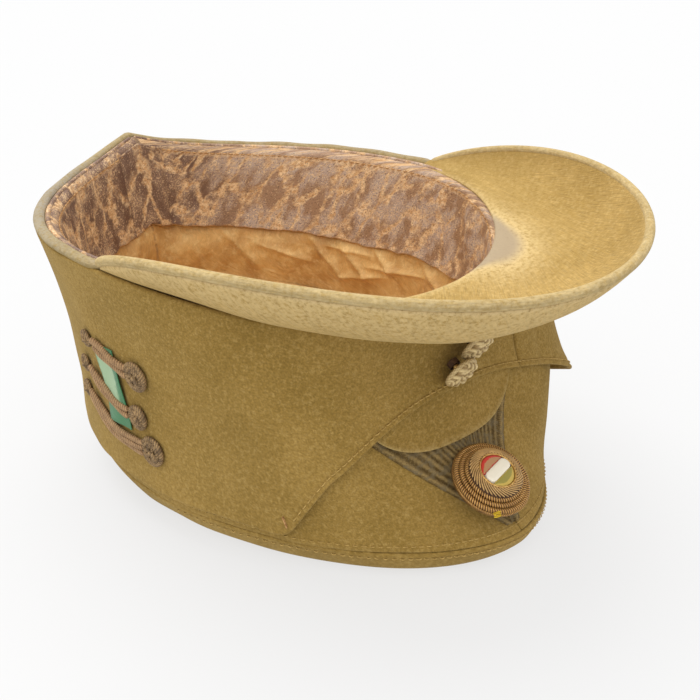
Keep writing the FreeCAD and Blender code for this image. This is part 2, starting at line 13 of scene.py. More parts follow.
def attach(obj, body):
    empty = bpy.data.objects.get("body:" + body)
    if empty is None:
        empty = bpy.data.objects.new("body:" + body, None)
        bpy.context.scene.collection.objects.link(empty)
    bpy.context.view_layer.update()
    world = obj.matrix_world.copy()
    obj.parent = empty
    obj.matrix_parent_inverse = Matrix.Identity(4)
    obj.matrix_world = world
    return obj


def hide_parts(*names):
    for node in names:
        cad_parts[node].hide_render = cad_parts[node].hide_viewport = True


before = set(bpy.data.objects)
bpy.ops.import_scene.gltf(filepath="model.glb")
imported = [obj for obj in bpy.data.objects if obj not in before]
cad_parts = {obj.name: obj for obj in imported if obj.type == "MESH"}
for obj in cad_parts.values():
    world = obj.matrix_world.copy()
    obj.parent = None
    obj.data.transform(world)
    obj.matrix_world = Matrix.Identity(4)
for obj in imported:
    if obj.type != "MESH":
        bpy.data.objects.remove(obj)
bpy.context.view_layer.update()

MM = 0.001

# ---------------------------------------------------------------- sizes

RIM = dict(half_width=87.8, front=94.7, back=100.8, middle=2.1, front_power=2.1, back_power=2.15,
           front_height=94.7, side_height=109.3, back_height=109.8)
WAIST = dict(half_width=79.8, front=95.3, back=98.9, middle=-2.6, front_power=2.25, back_power=2.05)
SEAM = dict(half_width=78.9, front=128.5, back=96.9, middle=-7.3, front_power=1.84, back_power=2.13,
            front_height=10.9, side_height=12.8, back_height=25.8)
BACK_POINT = dict(reach=3.6, rise=13.4, spread=0.35)
WAIST_DROP = 1.9
FRAME_SHIFT = 25.76
MIDDLE = np.array([0.0, FRAME_SHIFT - 14.0, 0.0])
WALL_RUN = 100.0

CLOTH = 2.0
BELLY = dict(right=18.0, left=5.4, angle=40.0, spread=22.0, power=0.85)
FLAP = dict(thickness=2.4, gap=0.4, corner=55.0, centre_reach=0.37, corner_reach=0.95, split=17.0,
            right_corner=46.0, right_reach=0.69, side=95.0, side_reach=0.93, lift=10.0, lift_spread=13.0)
LINING = dict(reach=0.71, sink=12.0, level=33.0)
TONGUE = dict(centre=-6.5, half=22.5, reach=0.595, inner=1.3, thickness=1.3)
PEAK = dict(angle=86.4, length=63.8, power=0.74, forward=0.49, front_rise=17.7, side_rise=38.7,
            rise_power=1.7, camber=9.9, cloth=1.2, board=1.3, roll=1.8)
TOP_ROLL = dict(front=9.8, slope=1.5)
LACE = dict(width=25.0, rib=3.6, inner=0.2, thickness=0.8)
COCKADE = dict(angle=-3.7, down=0.805, stand=6.2, tilt=16.0, turn=10.0, backing=1.2, core=4.0)
BUTTON = dict(radius=7.0, dome=3.2, stand=4.6, gap=1.6)
BUTTONS = (("left", -3.06, 0.250, 34.0), ("right", 0.73, 0.151, 27.0))
KNOTS = dict(large=6.2, medium=5.2, small=3.7)
FRONT_KNOTS = (("upper", -84.5, 0.43, "large"), ("middle", -87.2, 0.625, "medium"),
               ("lower", -84.5, 0.755, "large"))
REAR_KNOTS = (("upper", -100.5, 0.37, "small"), ("middle", -106.0, 0.52, "small"),
              ("lower", -109.5, 0.665, "small"))
HALF_TURN = 179.88

CAMERA = dict(azimuth=-43.55, elevation=24.05, roll=-2.06, distance=476.11, lens=57.2,
              target=(19.1, 6.50, 44.95))


# ---------------------------------------------------------------- guide surface

def unit(value):
    """The value held between 0 and 1."""
    return np.clip(value, 0, 1)


def bell(gap, width):
    """1 at no gap, fading smoothly to 0 over a few widths."""
    return np.exp(-(gap / width) ** 2)


def outline(level, angle):
    """Plan points of one outline: two half superellipses that meet at the sides."""
    sine, cosine = np.sin(angle), np.cos(angle)
    ahead = cosine >= 0
    power = 2.0 / np.where(ahead, level["front_power"], level["back_power"])
    reach = np.where(ahead, -level["front"], level["back"])
    x = level["half_width"] * np.copysign(np.abs(sine) ** power, sine)
    y = level["middle"] + (reach - level["middle"]) * np.abs(cosine) ** power
    return x, y


def outline_height(level, angle):
    cosine = np.cos(angle)
    end = np.where(cosine > 0, level["front_height"], level["back_height"])
    return level["side_height"] + (end - level["side_height"]) * cosine ** 2


def rim(angle):
    x, y = outline(RIM, angle)
    point = np.exp(-(math.pi - np.abs(angle)) / BACK_POINT["spread"])
    height = outline_height(RIM, angle) + BACK_POINT["rise"] * point
    return np.stack([x, y + BACK_POINT["reach"] * point, height], -1)


def seam(angle):
    x, y = outline(SEAM, angle)
    return np.stack([x, y, outline_height(SEAM, angle)], -1)


def waist(angle):
    x, y = outline(WAIST, angle)
    height = (rim(angle)[..., 2] + seam(angle)[..., 2]) / 2 - WAIST_DROP * np.maximum(np.cos(angle), 0)
    return np.stack([x, y, height], -1)


def outward(angle):
    return np.stack([np.sin(angle), -np.cos(angle), np.zeros_like(angle)], -1)


def wall(degrees, down, offset=0.0):
    """Points of the guide surface: down runs from 0 at the rim to 1 at the crown seam."""
    degrees, down, offset = np.broadcast_arrays(*(np.asarray(v, float) for v in (degrees, down, offset)))
    angle = np.radians(degrees)
    top = (2 * (down - 0.5) * (down - 1))[..., None]
    middle = (-4 * down * (down - 1))[..., None]
    bottom = (2 * down * (down - 0.5))[..., None]
    point = rim(angle) * top + waist(angle) * middle + seam(angle) * bottom
    return point + outward(angle) * offset[..., None] + (0, FRAME_SHIFT, 0)


def outer(degrees, down, offset=0.0):
    """The outer cloth's surface: the guide surface with the belly at both front corners."""
    degrees, down = (np.asarray(v, float) for v in (degrees, down))
    right, left = (bell(degrees - side * BELLY["angle"], BELLY["spread"]) for side in (1, -1))
    swell = np.sin(math.pi * unit(down) ** BELLY["power"])
    return wall(degrees, down, offset + (BELLY["right"] * right + BELLY["left"] * left) * swell)


def outer_normal(degrees, down):
    across = outer(degrees + 0.5, down) - outer(degrees - 0.5, down)
    along = outer(degrees, down + 0.01) - outer(degrees, down - 0.01)
    normal = np.cross(along, across)
    normal /= np.linalg.norm(normal, axis=-1, keepdims=True)
    facing = np.sum(normal * outward(np.radians(np.asarray(degrees, float))), -1, keepdims=True)
    return normal * np.sign(facing)


def angle_at(x, down):
    """Angle on the front of the outer cloth whose point has this x."""
    low, high = -89.0, 89.0
    while high - low > 0.01:
        half = (low + high) / 2
        low, high = (half, high) if outer(half, down)[0] < x else (low, half)
    return (low + high) / 2


def ripple(points, length, seed, count=9):
    """Smooth uneven field of about unit size, with features of this length."""
    rng = np.random.default_rng(seed)
    total = np.zeros(points.shape[:-1])
    for _ in range(count):
        way = rng.normal(size=3)
        way *= 2 * math.pi / length * rng.uniform(0.6, 1.5) / np.linalg.norm(way)
        total += np.sin(points @ way + rng.uniform(0, 2 * math.pi))
    return total / math.sqrt(count / 2) * 0.6


def cloth(degrees, down, offset=0.0):
    """The outer cloth with the soft dents that every layer of the side shares."""
    flat = wall(degrees, down, 0.0)
    dent = 0.55 * ripple(flat, 70.0, 3) + 0.22 * ripple(flat, 26.0, 4)
    dent = dent * np.clip(np.asarray(down) * 5, 0.15, 1)
    return outer(degrees, down, offset + dent)


# ---------------------------------------------------------------- meshes

def weld(points, faces):
    """Joins points that lie together and drops the faces that close up."""
    keys = np.round(points / 0.002).astype(np.int64)
    _, first, back = np.unique(keys, axis=0, return_index=True, return_inverse=True)
    back = back.ravel()
    kept = []
    for face in back[faces].tolist():
        loop = [v for i, v in enumerate(face) if v != face[i - 1]]
        if len(set(loop)) > 2:
            kept.append(loop)
    return first, kept


class Shape:
    """Points in millimetres and faces, gathered from several runs of geometry into one piece."""

    def __init__(self):
        self.points, self.faces, self.flow, self.wear = [], [], [], []
        self.count = 0

    def add(self, points, faces, flow=None, wear=None):
        points = np.asarray(points, float).reshape(-1, 3)
        self.points.append(points)
        self.faces.append(np.asarray(faces) + self.count)
        self.flow.append(points if flow is None else np.asarray(flow, float).reshape(-1, 3))
        self.wear.append(np.zeros(len(points)) if wear is None else np.asarray(wear, float).ravel())
        self.count += len(points)

    def make(self, name, material, slot, nodes=(), body="cap"):
        points = np.concatenate(self.points)
        first, faces = weld(points, np.concatenate(self.faces))
        points = points[first]
        mesh = bpy.data.meshes.new(name)
        mesh.from_pydata((points * MM).tolist(), [], faces)
        for label, kind, key, values in (("flow", "FLOAT_VECTOR", "vector", np.concatenate(self.flow)),
                                         ("wear", "FLOAT", "value", np.concatenate(self.wear))):
            data = mesh.attributes.new(label, kind, "POINT").data
            data.foreach_set(key, values[first].ravel())
        mesh.polygons.foreach_set("use_smooth", [True] * len(mesh.polygons))
        mesh.materials.append(material)
        mesh.update()
        piece = bpy.data.objects.new(name, mesh)
        bpy.context.scene.collection.objects.link(piece)
        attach(piece, body)
        if nodes:
            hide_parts(*nodes)
        return piece


def quads(rows, columns, wrap_rows=False, wrap_columns=False):
    """Faces of a grid of points stored row by row."""
    i = np.arange(rows if wrap_rows else rows - 1)[:, None]
    j = np.arange(columns if wrap_columns else columns - 1)[None, :]
    i2, j2 = (i + 1) % rows, (j + 1) % columns
    return np.stack([i * columns + j, i2 * columns + j, i2 * columns + j2, i * columns + j2],
                    -1).reshape(-1, 4)


def fan(count, way=1):
    """Faces from a ring of points to the one that follows them; way -1 turns them over."""
    ring = np.arange(count)[::way]
    return np.stack([ring, np.roll(ring, -1), np.full(count, count), np.full(count, count)], -1)


def runs(points, axis):
    """Distance along a grid's rows or columns, from its first point."""
    step = np.linalg.norm(np.diff(points, axis=axis), axis=-1)
    start = np.zeros_like(np.take(step, [0], axis=axis))
    return np.concatenate([start, np.cumsum(step, axis=axis)], axis=axis)


def edged(length, radius, count, first=True, last=True):
    """Shares from 0 to 1 with close rows at the ends that are rounded."""
    near = min(radius / length, 0.2)
    fine = near * np.array([0.0, 0.04, 0.16, 0.38, 0.68])
    middle = np.linspace(near if first else 0.0, 1 - near if last else 1.0, count)
    return np.concatenate([fine if first else [], middle, 1 - fine[::-1] if last else []])


def slab(place, a, b, radius, free=(True, True, True, True), closed=False, wear=None):
    """Closed cloth between two skins with rounded free edges.

    place(a, b, side) gives points, with side 0 on the inside and 1 on the outside. free says which of
    the edges a=0, a=1, b=0 and b=1 are rounded; the others keep the full thickness.
    """
    shape = Shape()
    A, B = np.meshgrid(a, b, indexing="ij")
    middle = place(A, B, np.full_like(A, 0.5))
    across, along = runs(middle, 0), runs(middle, 1)
    near = np.full_like(A, radius)
    for is_free, gap in zip(free, (across, across[-1:] - across, along, along[:, -1:] - along)):
        if is_free:
            near = np.minimum(near, gap)
    share = np.sqrt(unit(1 - (1 - near / radius) ** 2)) / 2
    skins = [place(A, B, 0.5 + sign * share) for sign in (1, -1)]
    rows, columns = A.shape
    front = quads(rows, columns, wrap_rows=closed)
    probe = front[len(front) // 2]
    flat = skins[0].reshape(-1, 3)
    normal = np.cross(flat[probe[2]] - flat[probe[0]], flat[probe[3]] - flat[probe[1]])
    if np.dot(normal, (skins[0] - skins[1]).reshape(-1, 3)[probe[0]]) < 0:
        front = front[:, ::-1]
    back = front[:, ::-1] + rows * columns
    faces = [front, back]
    for edge, index in ((not free[2], 0), (not free[3], columns - 1)):
        if edge:
            line = np.arange(rows) * columns + index
            turn = np.stack([line[:-1], line[1:], line[1:] + rows * columns, line[:-1] + rows * columns], -1)
            faces.append(turn if (index == 0) == bool(front[0][0] < front[0][1]) else turn[:, ::-1])
    flow = np.stack([across, along, np.zeros_like(across)], -1)
    worn = np.zeros_like(A) if wear is None else wear(A, B)
    shape.add(np.concatenate([s.reshape(-1, 3) for s in skins]), np.concatenate(faces),
              np.concatenate([flow, flow + (0, 0, 9)]).reshape(-1, 3), np.concatenate([worn, worn]))
    return shape


def even(path, step, closed=False):
    """The same path at even steps."""
    path = np.asarray(path, float)
    if closed:
        path = np.concatenate([path, path[:1]])
    run = runs(path, 0)
    count = max(4, int(round(run[-1] / step)))
    at = np.linspace(0, run[-1], count + 1)
    path = np.stack([np.interp(at, run, path[:, k]) for k in range(3)], -1)
    return (path[:-1] if closed else path), run[-1]


def tube(shape, path, up, radius, step, sides=10, closed=False, strands=0, pitch=2.0, depth=0.16,
         taper=0.0):
    """Round cord along a path. strands twists it: that many strands with this lay."""
    path, length = even(path, step, closed)
    count = len(path)
    ahead = np.roll(path, -1, 0) - np.roll(path, 1, 0) if closed else np.gradient(path, axis=0)
    ahead /= np.linalg.norm(ahead, axis=-1, keepdims=True)
    side = np.cross(ahead, np.broadcast_to(np.asarray(up, float), path.shape))
    side /= np.linalg.norm(side, axis=-1, keepdims=True)
    rise = np.cross(side, ahead)
    run = np.arange(count) * length / (count if closed else count - 1)
    turn = np.linspace(0, 2 * math.pi, sides, endpoint=False)
    swell = np.ones((count, sides))
    if strands:
        lay = round(length / pitch) / length if closed else 1 / pitch
        swell += depth * np.cos(strands * (turn[None] + 2 * math.pi * lay * run[:, None]))
    # The strands' swell is kept in the flow as a painted shade tone: lit on the crowns, shaded between the
    # strands.
    tone = swell.copy()
    if taper:
        ends = np.minimum(run, length - run) / taper
        swell *= np.sqrt(np.clip(1 - (1 - unit(ends)) ** 2, 0.02, 1))[:, None]
    reach = radius * swell
    points = (path[:, None] + side[:, None] * (reach * np.cos(turn))[..., None]
              + rise[:, None] * (reach * np.sin(turn))[..., None])
    faces = quads(count, sides, wrap_rows=closed, wrap_columns=True)
    flow = np.stack([np.broadcast_to(run[:, None], reach.shape), np.broadcast_to(turn, reach.shape),
                     tone], -1)
    shape.add(points, faces, flow)
    if not closed:
        for index, way in ((0, 1), (count - 1, -1)):
            ends = np.concatenate([points[index], path[index][None]])
            shape.add(ends, fan(sides, way), np.repeat(flow[index][:1], sides + 1, 0))
    return shape


def lathe(shape, profile, matrix, sides):
    """Turns (radius, height) points round the Z axis of a placement."""
    profile = np.asarray(profile, float)
    turn = np.linspace(0, 2 * math.pi, sides, endpoint=False)
    T, R = np.meshgrid(turn, profile[:, 0], indexing="ij")
    Z = np.broadcast_to(profile[:, 1], T.shape)
    local = np.stack([R * np.cos(T), R * np.sin(T), Z], -1)
    shape.add(move(local, matrix), quads(sides, len(profile), wrap_rows=True),
              np.stack([T * 6, R, Z], -1))
    return shape


def move(local, matrix):
    """Local millimetre points taken through a placement."""
    grid = np.array(matrix)
    return np.asarray(local) @ grid[:3, :3].T + grid[:3, 3]


def on_wall(degrees, down, stand):
    """Placement on the outer cloth with its Z along the outward normal."""
    normal = outer_normal(degrees, down)
    spot = outer(degrees, down) + normal * stand
    turn = Vector((0, 0, 1)).rotation_difference(Vector(normal))
    return Matrix.Translation(Vector(spot)) @ turn.to_matrix().to_4x4()


def raised(matrix, height):
    return matrix @ Matrix.Translation((0, 0, height))


def stitch_row(shape, spots, normals, length, radius, arch=0.35):
    """Thread stitches, each a short arch that dips into the cloth at both ends."""
    share = np.linspace(-1, 1, 7)
    ahead = np.gradient(spots, axis=0)
    ahead /= np.linalg.norm(ahead, axis=-1, keepdims=True)
    for spot, way, normal in zip(spots, ahead, normals):
        path = (spot + way * (share * length / 2)[:, None]
                + normal * ((1 - share ** 2) * (radius + arch) - radius * 0.9)[:, None])
        tube(shape, path, normal, radius, length / 6, sides=6)
    return shape


# ---------------------------------------------------------------- materials

def rgb(red, green, blue):
    """Linear colour from display values of 0 to 255."""
    return tuple((v / 255 / 12.92 if v < 11 else ((v / 255 + 0.055) / 1.055) ** 2.4)
                 for v in (red, green, blue)) + (1.0,)


class Finish:
    """A procedural material: a Principled surface and the nodes that feed it."""

    def __init__(self, name, **surface):
        self.material = bpy.data.materials.new(name)
        self.material.use_nodes = True
        self.tree = self.material.node_tree
        self.surface = self.tree.nodes["Principled BSDF"]
        for label, value in surface.items():
            self.surface.inputs[label.replace("_", " ").title().replace("Ior", "IOR")].default_value = value

    def node(self, kind, inputs=(), **settings):
        made = self.tree.nodes.new(kind)
        for label, value in settings.items():
            setattr(made, label, value)
        for label, value in dict(inputs).items():
            if isinstance(value, bpy.types.NodeSocket):
                self.tree.links.new(value, made.inputs[label])
            else:
                made.inputs[label].default_value = value
        return made

    def scaled(self, source, scale):
        return self.node("ShaderNodeVectorMath", {0: source, 1: scale}, operation="MULTIPLY").outputs[0]

    def flow(self, scale=(1, 1, 1)):
        """Millimetres along and across the cloth."""
        return self.scaled(self.node("ShaderNodeAttribute", attribute_name="flow").outputs["Vector"], scale)

    def place(self, scale=(1, 1, 1)):
        """Millimetres in the cap's own axes."""
        source = self.node("ShaderNodeTexCoord").outputs["Object"]
        return self.scaled(source, tuple(1000.0 * s for s in scale))

    def wear(self):
        return self.node("ShaderNodeAttribute", attribute_name="wear").outputs["Fac"]

    def noise(self, at, size, detail=3.0, rough=0.55, warp=0.0):
        return self.node("ShaderNodeTexNoise", {"Vector": at, "Scale": 1.0 / size, "Detail": detail,
                                                "Roughness": rough, "Distortion": warp}).outputs["Fac"]

    def edges(self, at, size):
        """Distance to the borders of cells of this size."""
        made = self.node("ShaderNodeTexVoronoi", {"Vector": at, "Scale": 1.0 / size},
                         feature="DISTANCE_TO_EDGE")
        return made.outputs["Distance"]

    def math(self, operation, first, second=0.0):
        return self.node("ShaderNodeMath", {0: first, 1: second}, operation=operation).outputs[0]

    def parts(self, vector):
        return self.node("ShaderNodeSeparateXYZ", {0: vector}).outputs

    def between(self, value, low, high, start=0.0, stop=1.0):
        """A smooth step of value from low to high."""
        made = self.node("ShaderNodeMapRange", {"Value": value, "From Min": low, "From Max": high,
                                                "To Min": start, "To Max": stop},
                         interpolation_type="SMOOTHSTEP")
        return made.outputs[0]

    def shaded(self, colour, shade):
        """The colour times a grey shade."""
        grey = self.node("ShaderNodeCombineColor", {0: shade, 1: shade, 2: shade}).outputs[0]
        return self.mix(1.0, colour, grey, "MULTIPLY")

    def mix(self, factor, first, second, blend="MIX"):
        made = self.node("ShaderNodeMix", data_type="RGBA", blend_type=blend)
        for index, value in ((0, factor), (6, first), (7, second)):
            if isinstance(value, bpy.types.NodeSocket):
                self.tree.links.new(value, made.inputs[index])
            else:
                made.inputs[index].default_value = value
        return made.outputs[2]

    def bump(self, height, distance, strength=1.0):
        """Adds relief, in millimetres of height."""
        old = self.surface.inputs["Normal"]
        made = self.node("ShaderNodeBump", {"Height": height, "Distance": distance * MM,
                                            "Strength": strength})
        if old.is_linked:
            self.tree.links.new(old.links[0].from_socket, made.inputs["Normal"])
        self.tree.links.new(made.outputs[0], old)

    def set(self, **sockets):
        for label, value in sockets.items():
            self.tree.links.new(value, self.surface.inputs[label.replace("_", " ").title()])
        return self.material


def wool(name, base, dark, light, worn, worn_share=0.0, nap=(1, 1, 1)):
    """Milled wool: faint mottling, a fine nap and greyed wear."""
    f = Finish(name, roughness=0.95, sheen_weight=0.22, sheen_roughness=0.45, specular_ior_level=0.12,
               sheen_tint=rgb(226, 205, 150))
    at, along = f.place(), f.flow(nap)
    broad = f.noise(at, 30.0, 3.0, 0.5)
    blotch = f.noise(at, 1.6, 3.0, 0.6)
    fibre = f.noise(along, 0.8, 4.0, 0.7)
    colour = f.mix(f.between(broad, 0.25, 0.75, 0.25, 1.0), dark, base)
    colour = f.mix(f.between(blotch, 0.46, 0.76, 0.0, 0.55), colour, light)
    colour = f.mix(f.between(blotch, 0.52, 0.28, 0.0, 0.5), colour, dark)
    colour = f.shaded(colour, f.between(fibre, 0.25, 0.75, 0.74, 1.26))
    rub = f.math("MULTIPLY", f.wear(), f.between(f.noise(at, 1.6, 4.0, 0.7), 0.25, 0.6))
    rub = f.math("ADD", rub, f.between(f.noise(at, 2.0, 5.0, 0.75), 0.62, 0.8, 0.0, worn_share))
    colour = f.mix(rub, colour, worn)
    colour = f.mix(f.between(f.wear(), 0.8, 1.5, 0.0, 0.85), colour, rgb(152, 136, 116))
    f.bump(f.noise(at, 3.0, 3.0), 0.3, 0.45)
    f.bump(fibre, 0.45, 0.6)
    f.bump(f.noise(at, 0.35, 2.0, 0.6), 0.16, 0.6)
    return f.set(base_color=colour)


def leather(name):
    """Old sweatband leather: dark skin at the back with broad tan cracks, rubbed to grey and tan in front."""
    f = Finish(name, specular_ior_level=0.42)
    at = f.flow()
    warp = f.node("ShaderNodeTexNoise", {"Vector": at, "Scale": 1 / 5.0, "Detail": 5.0}).outputs["Color"]
    bent = f.node("ShaderNodeVectorMath", {0: f.scaled(warp, (5, 5, 5)), 1: f.scaled(at, (1, 0.5, 1))},
                  operation="ADD").outputs[0]
    patch = f.noise(f.scaled(at, (1, 0.6, 1)), 9.0, 4.0, 0.6)
    speck = f.noise(at, 0.8, 4.0, 0.8)
    x, y, _ = f.parts(f.place())
    aged = f.math("ADD", f.math("MULTIPLY", x, 0.725), f.math("MULTIPLY", y, -0.689))
    aged = f.between(f.math("ADD", aged, f.math("MULTIPLY", patch, 30.0)), -58.0, -22.0)
    skin = f.mix(f.between(patch, 0.36, 0.64), rgb(104, 74, 56), rgb(142, 112, 90))
    skin = f.mix(aged, skin, f.mix(f.between(patch, 0.42, 0.60), rgb(150, 114, 82), rgb(176, 152, 134)))
    line = f.math("MULTIPLY", f.between(f.edges(bent, 11.0), 0.13, 0.03),
                  f.between(f.noise(at, 6.0, 3.0, 0.6), 0.34, 0.56))
    fleck = f.math("ADD", speck, f.math("MULTIPLY", f.math("SUBTRACT", patch, 0.5), 0.5))
    fleck = f.between(fleck, 0.53, 0.60)
    crest = f.between(f.wear(), 0.2, 0.9)
    loss = f.math("MAXIMUM", f.math("MAXIMUM", line, f.math("MULTIPLY", fleck, 0.8)), crest)
    colour = f.mix(loss, skin, f.mix(f.between(f.noise(at, 1.6, 4.0, 0.7), 0.35, 0.65), rgb(188, 142, 92),
                                     rgb(224, 190, 146)))
    pits = f.between(f.noise(at, 0.7, 3.0, 0.75), 0.46, 0.36, 0.0, 0.8)
    colour = f.mix(pits, colour, rgb(84, 58, 44))
    f.bump(patch, 1.2, 0.5)
    f.bump(f.math("SUBTRACT", 1.0, loss), 0.3, 0.7)
    f.bump(speck, 0.25, 0.6)
    return f.set(base_color=colour, roughness=f.between(loss, 0.0, 1.0, 0.5, 0.85))


def satin(name, base, dark, light):
    """Old cotton satin with creases, water stains and a soft sheen."""
    f = Finish(name, specular_ior_level=0.35, sheen_weight=0.15, sheen_roughness=0.4)
    at, place = f.flow(), f.place()
    stain = f.noise(place, 22.0, 4.0, 0.6, 0.6)
    mottle = f.noise(place, 3.5, 4.0, 0.65)
    colour = f.mix(f.between(stain, 0.32, 0.66), dark, base)
    colour = f.mix(f.between(mottle, 0.45, 0.75, 0.0, 0.5), colour, light)
    colour = f.mix(f.between(mottle, 0.42, 0.25, 0.0, 0.45), colour, dark)
    weave = f.noise(f.flow((1.0, 0.12, 1.0)), 0.35, 2.0)
    colour = f.shaded(colour, f.between(weave, 0.3, 0.7, 0.90, 1.08))
    f.bump(f.noise(at, 7.0, 5.0, 0.62, 1.2), 1.6, 0.6)
    f.bump(f.noise(at, 1.6, 3.0, 0.6), 0.3, 0.4)
    f.bump(weave, 0.05, 0.5)
    return f.set(base_color=colour, roughness=f.between(mottle, 0.3, 0.7, 0.42, 0.62))


def cord_finish(name, crown_highlight_colour, groove_shade_and_tarnish, metallic=0.55, roughness=0.42, tarnish=0.5):
    """Wound metal thread: painted highlight on the strands' crowns and painted shade between them."""
    f = Finish(name, metallic=metallic, specular_ior_level=0.5)
    at = f.place()
    # The flow's third value is the cord's painted shade tone: high on the strands' crowns and low between
    # them.
    crown = f.between(f.parts(f.flow())[2], 0.86, 1.12)
    age = f.between(f.noise(at, 2.6, 4.0, 0.7), 0.38, 0.66, 0.0, tarnish)
    colour = f.mix(crown, groove_shade_and_tarnish, crown_highlight_colour)
    # The dark colour is also real tarnish, laid in noisy patches.
    colour = f.mix(age, colour, groove_shade_and_tarnish)
    fine = f.noise(at, 0.28, 3.0, 0.7)
    f.bump(fine, 0.12, 0.6)
    return f.set(base_color=colour, roughness=f.between(fine, 0.3, 0.7, roughness, roughness + 0.25))


def plain(name, base, second, size, metallic=0.0, roughness=0.6, relief=0.1, stretch=(1, 1, 1), specular=0.4):
    """Two-tone finish for the small and hidden parts."""
    f = Finish(name, metallic=metallic, specular_ior_level=specular)
    at = f.place(stretch)
    grain = f.noise(at, size, 4.0, 0.65)
    f.bump(f.noise(at, size * 0.4, 3.0, 0.6), relief, 0.6)
    return f.set(base_color=f.mix(f.between(grain, 0.35, 0.65), base, second),
                 roughness=f.between(grain, 0.3, 0.7, roughness, min(1.0, roughness + 0.15)))


def lace_finish(name):
    """Woven rank lace: lengthwise ridges of gilt and grey silk, rubbed and frayed."""
    f = Finish(name, metallic=0.1, specular_ior_level=0.2)
    place = f.place()
    run, across, _ = f.parts(f.flow())
    ridge = f.math("COSINE", f.math("MULTIPLY", across, 2 * math.pi / LACE["rib"]))
    weft = f.math("SINE", f.math("MULTIPLY", run, 2 * math.pi / 0.8))
    fray = f.noise(place, 0.9, 5.0, 0.8)
    # The grooves between the ribs are painted darker and the raised weft lighter: painted shade and painted
    # highlight that follow the relief.
    mixed = f.math("ADD", fray, f.math("MULTIPLY", weft, 0.05))
    mixed = f.math("ADD", f.math("MULTIPLY", ridge, -0.16), mixed)
    colour = f.mix(f.between(mixed, 0.25, 0.78), rgb(88, 68, 34), rgb(160, 134, 84))
    colour = f.mix(f.between(f.noise(place, 3.5, 4.0, 0.7), 0.45, 0.62, 0.0, 0.7), colour,
                   rgb(126, 112, 84))
    colour = f.mix(f.between(f.noise(place, 0.6, 3.0, 0.8), 0.60, 0.76, 0.0, 0.7), colour,
                   rgb(196, 168, 108))
    f.bump(f.math("ADD", f.math("MULTIPLY", ridge, -0.5), f.math("MULTIPLY", weft, 0.4)), 0.3, 0.7)
    f.bump(fray, 0.45, 0.8)
    return f.set(base_color=colour, roughness=f.between(fray, 0.3, 0.7, 0.6, 0.9))


def enamel(name, base, second, share, size):
    """Old painted centre with the paint rubbed through, most where the piece carries wear."""
    f = Finish(name, specular_ior_level=0.5, coat_weight=0.2, coat_roughness=0.25)
    at = f.place()
    chips = f.noise(at, size, 5.0, 0.7)
    f.bump(chips, 0.08, 0.5)
    gone = f.math("ADD", chips, f.math("SUBTRACT", f.math("MULTIPLY", f.wear(), 0.9), 0.2))
    return f.set(base_color=f.mix(f.between(gone, 1 - share, 1 - share + 0.12), base, second),
                 roughness=f.between(chips, 0.3, 0.8, 0.3, 0.6))


def ribbon_finish(name):
    """Green ribbon with fine ribs, faded pale in the middle and in uneven patches."""
    f = Finish(name, roughness=0.7, sheen_weight=0.3, specular_ior_level=0.3)
    place = f.place()
    uneven = f.math("SUBTRACT", f.noise(place, 2.5, 3.0), 0.5)
    fade = f.math("ADD", f.wear(), f.math("MULTIPLY", uneven, 0.9))
    colour = f.mix(f.between(fade, 0.15, 0.75), rgb(52, 116, 70), rgb(150, 178, 136))
    rib = f.math("SINE", f.math("MULTIPLY", f.parts(f.flow())[1], 2 * math.pi / 0.45))
    f.bump(rib, 0.05, 0.6)
    f.bump(f.noise(place, 0.6, 3.0), 0.12, 0.5)
    return f.set(base_color=colour)


WOOL = wool("wool", rgb(151, 122, 64), rgb(126, 100, 46), rgb(172, 144, 86), rgb(180, 156, 104))
TOP_WOOL = wool("peak_wool", rgb(170, 140, 82), rgb(150, 121, 64), rgb(188, 160, 104), rgb(206, 180, 128),
                nap=(1, 0.16, 1))
EDGE_WOOL = wool("peak_edge_wool", rgb(180, 154, 100), rgb(154, 128, 76), rgb(198, 176, 128),
                 rgb(188, 172, 138), worn_share=0.3, nap=(0.3, 1, 1))
RIM_WOOL = wool("rim_wool", rgb(160, 138, 90), rgb(130, 108, 64), rgb(176, 156, 116), rgb(150, 142, 128),
                worn_share=0.3, nap=(0.3, 1, 1))
LEATHER = leather("sweatband_leather")
SATIN = satin("satin", rgb(212, 168, 102), rgb(182, 134, 72), rgb(236, 204, 142))
LACE_FINISH = lace_finish("rank_lace")
GILT = cord_finish("gilt_cord", rgb(214, 168, 98), rgb(92, 54, 24), 0.55, 0.38, 0.4)
PLEAT = cord_finish("pleat_cord", rgb(206, 166, 106), rgb(58, 36, 20), 0.4, 0.42, 0.3)
AGED = cord_finish("aged_cord", rgb(186, 152, 104), rgb(62, 44, 26), 0.15, 0.6, 0.7)
PLAIT = cord_finish("button_cord", rgb(220, 196, 142), rgb(140, 112, 66), 0.1, 0.5, 0.3)
BAR_CORD = cord_finish("bar_cord", rgb(196, 158, 112), rgb(96, 68, 42), 0.15, 0.6, 0.4)
THREAD = plain("stitch_thread", rgb(186, 154, 88), rgb(156, 126, 66), 1.2, roughness=0.8)
TAN_THREAD = plain("tan_thread", rgb(196, 152, 98), rgb(150, 108, 64), 1.5, roughness=0.75)
YELLOW = plain("yellow_thread", rgb(214, 180, 36), rgb(180, 146, 26), 0.9, roughness=0.7)
BUCKRAM = plain("buckram", rgb(170, 150, 112), rgb(140, 120, 84), 1.0, roughness=0.85, stretch=(1, 1, 0.2))
BOARD = plain("board", rgb(120, 92, 62), rgb(96, 72, 48), 2.0, roughness=0.8)
BACKING = plain("backing_brass", rgb(150, 112, 60), rgb(96, 66, 36), 1.4, metallic=0.7, roughness=0.42)
BEZEL = plain("bezel_gilt", rgb(226, 188, 116), rgb(178, 132, 72), 1.2, metallic=0.85, roughness=0.3)
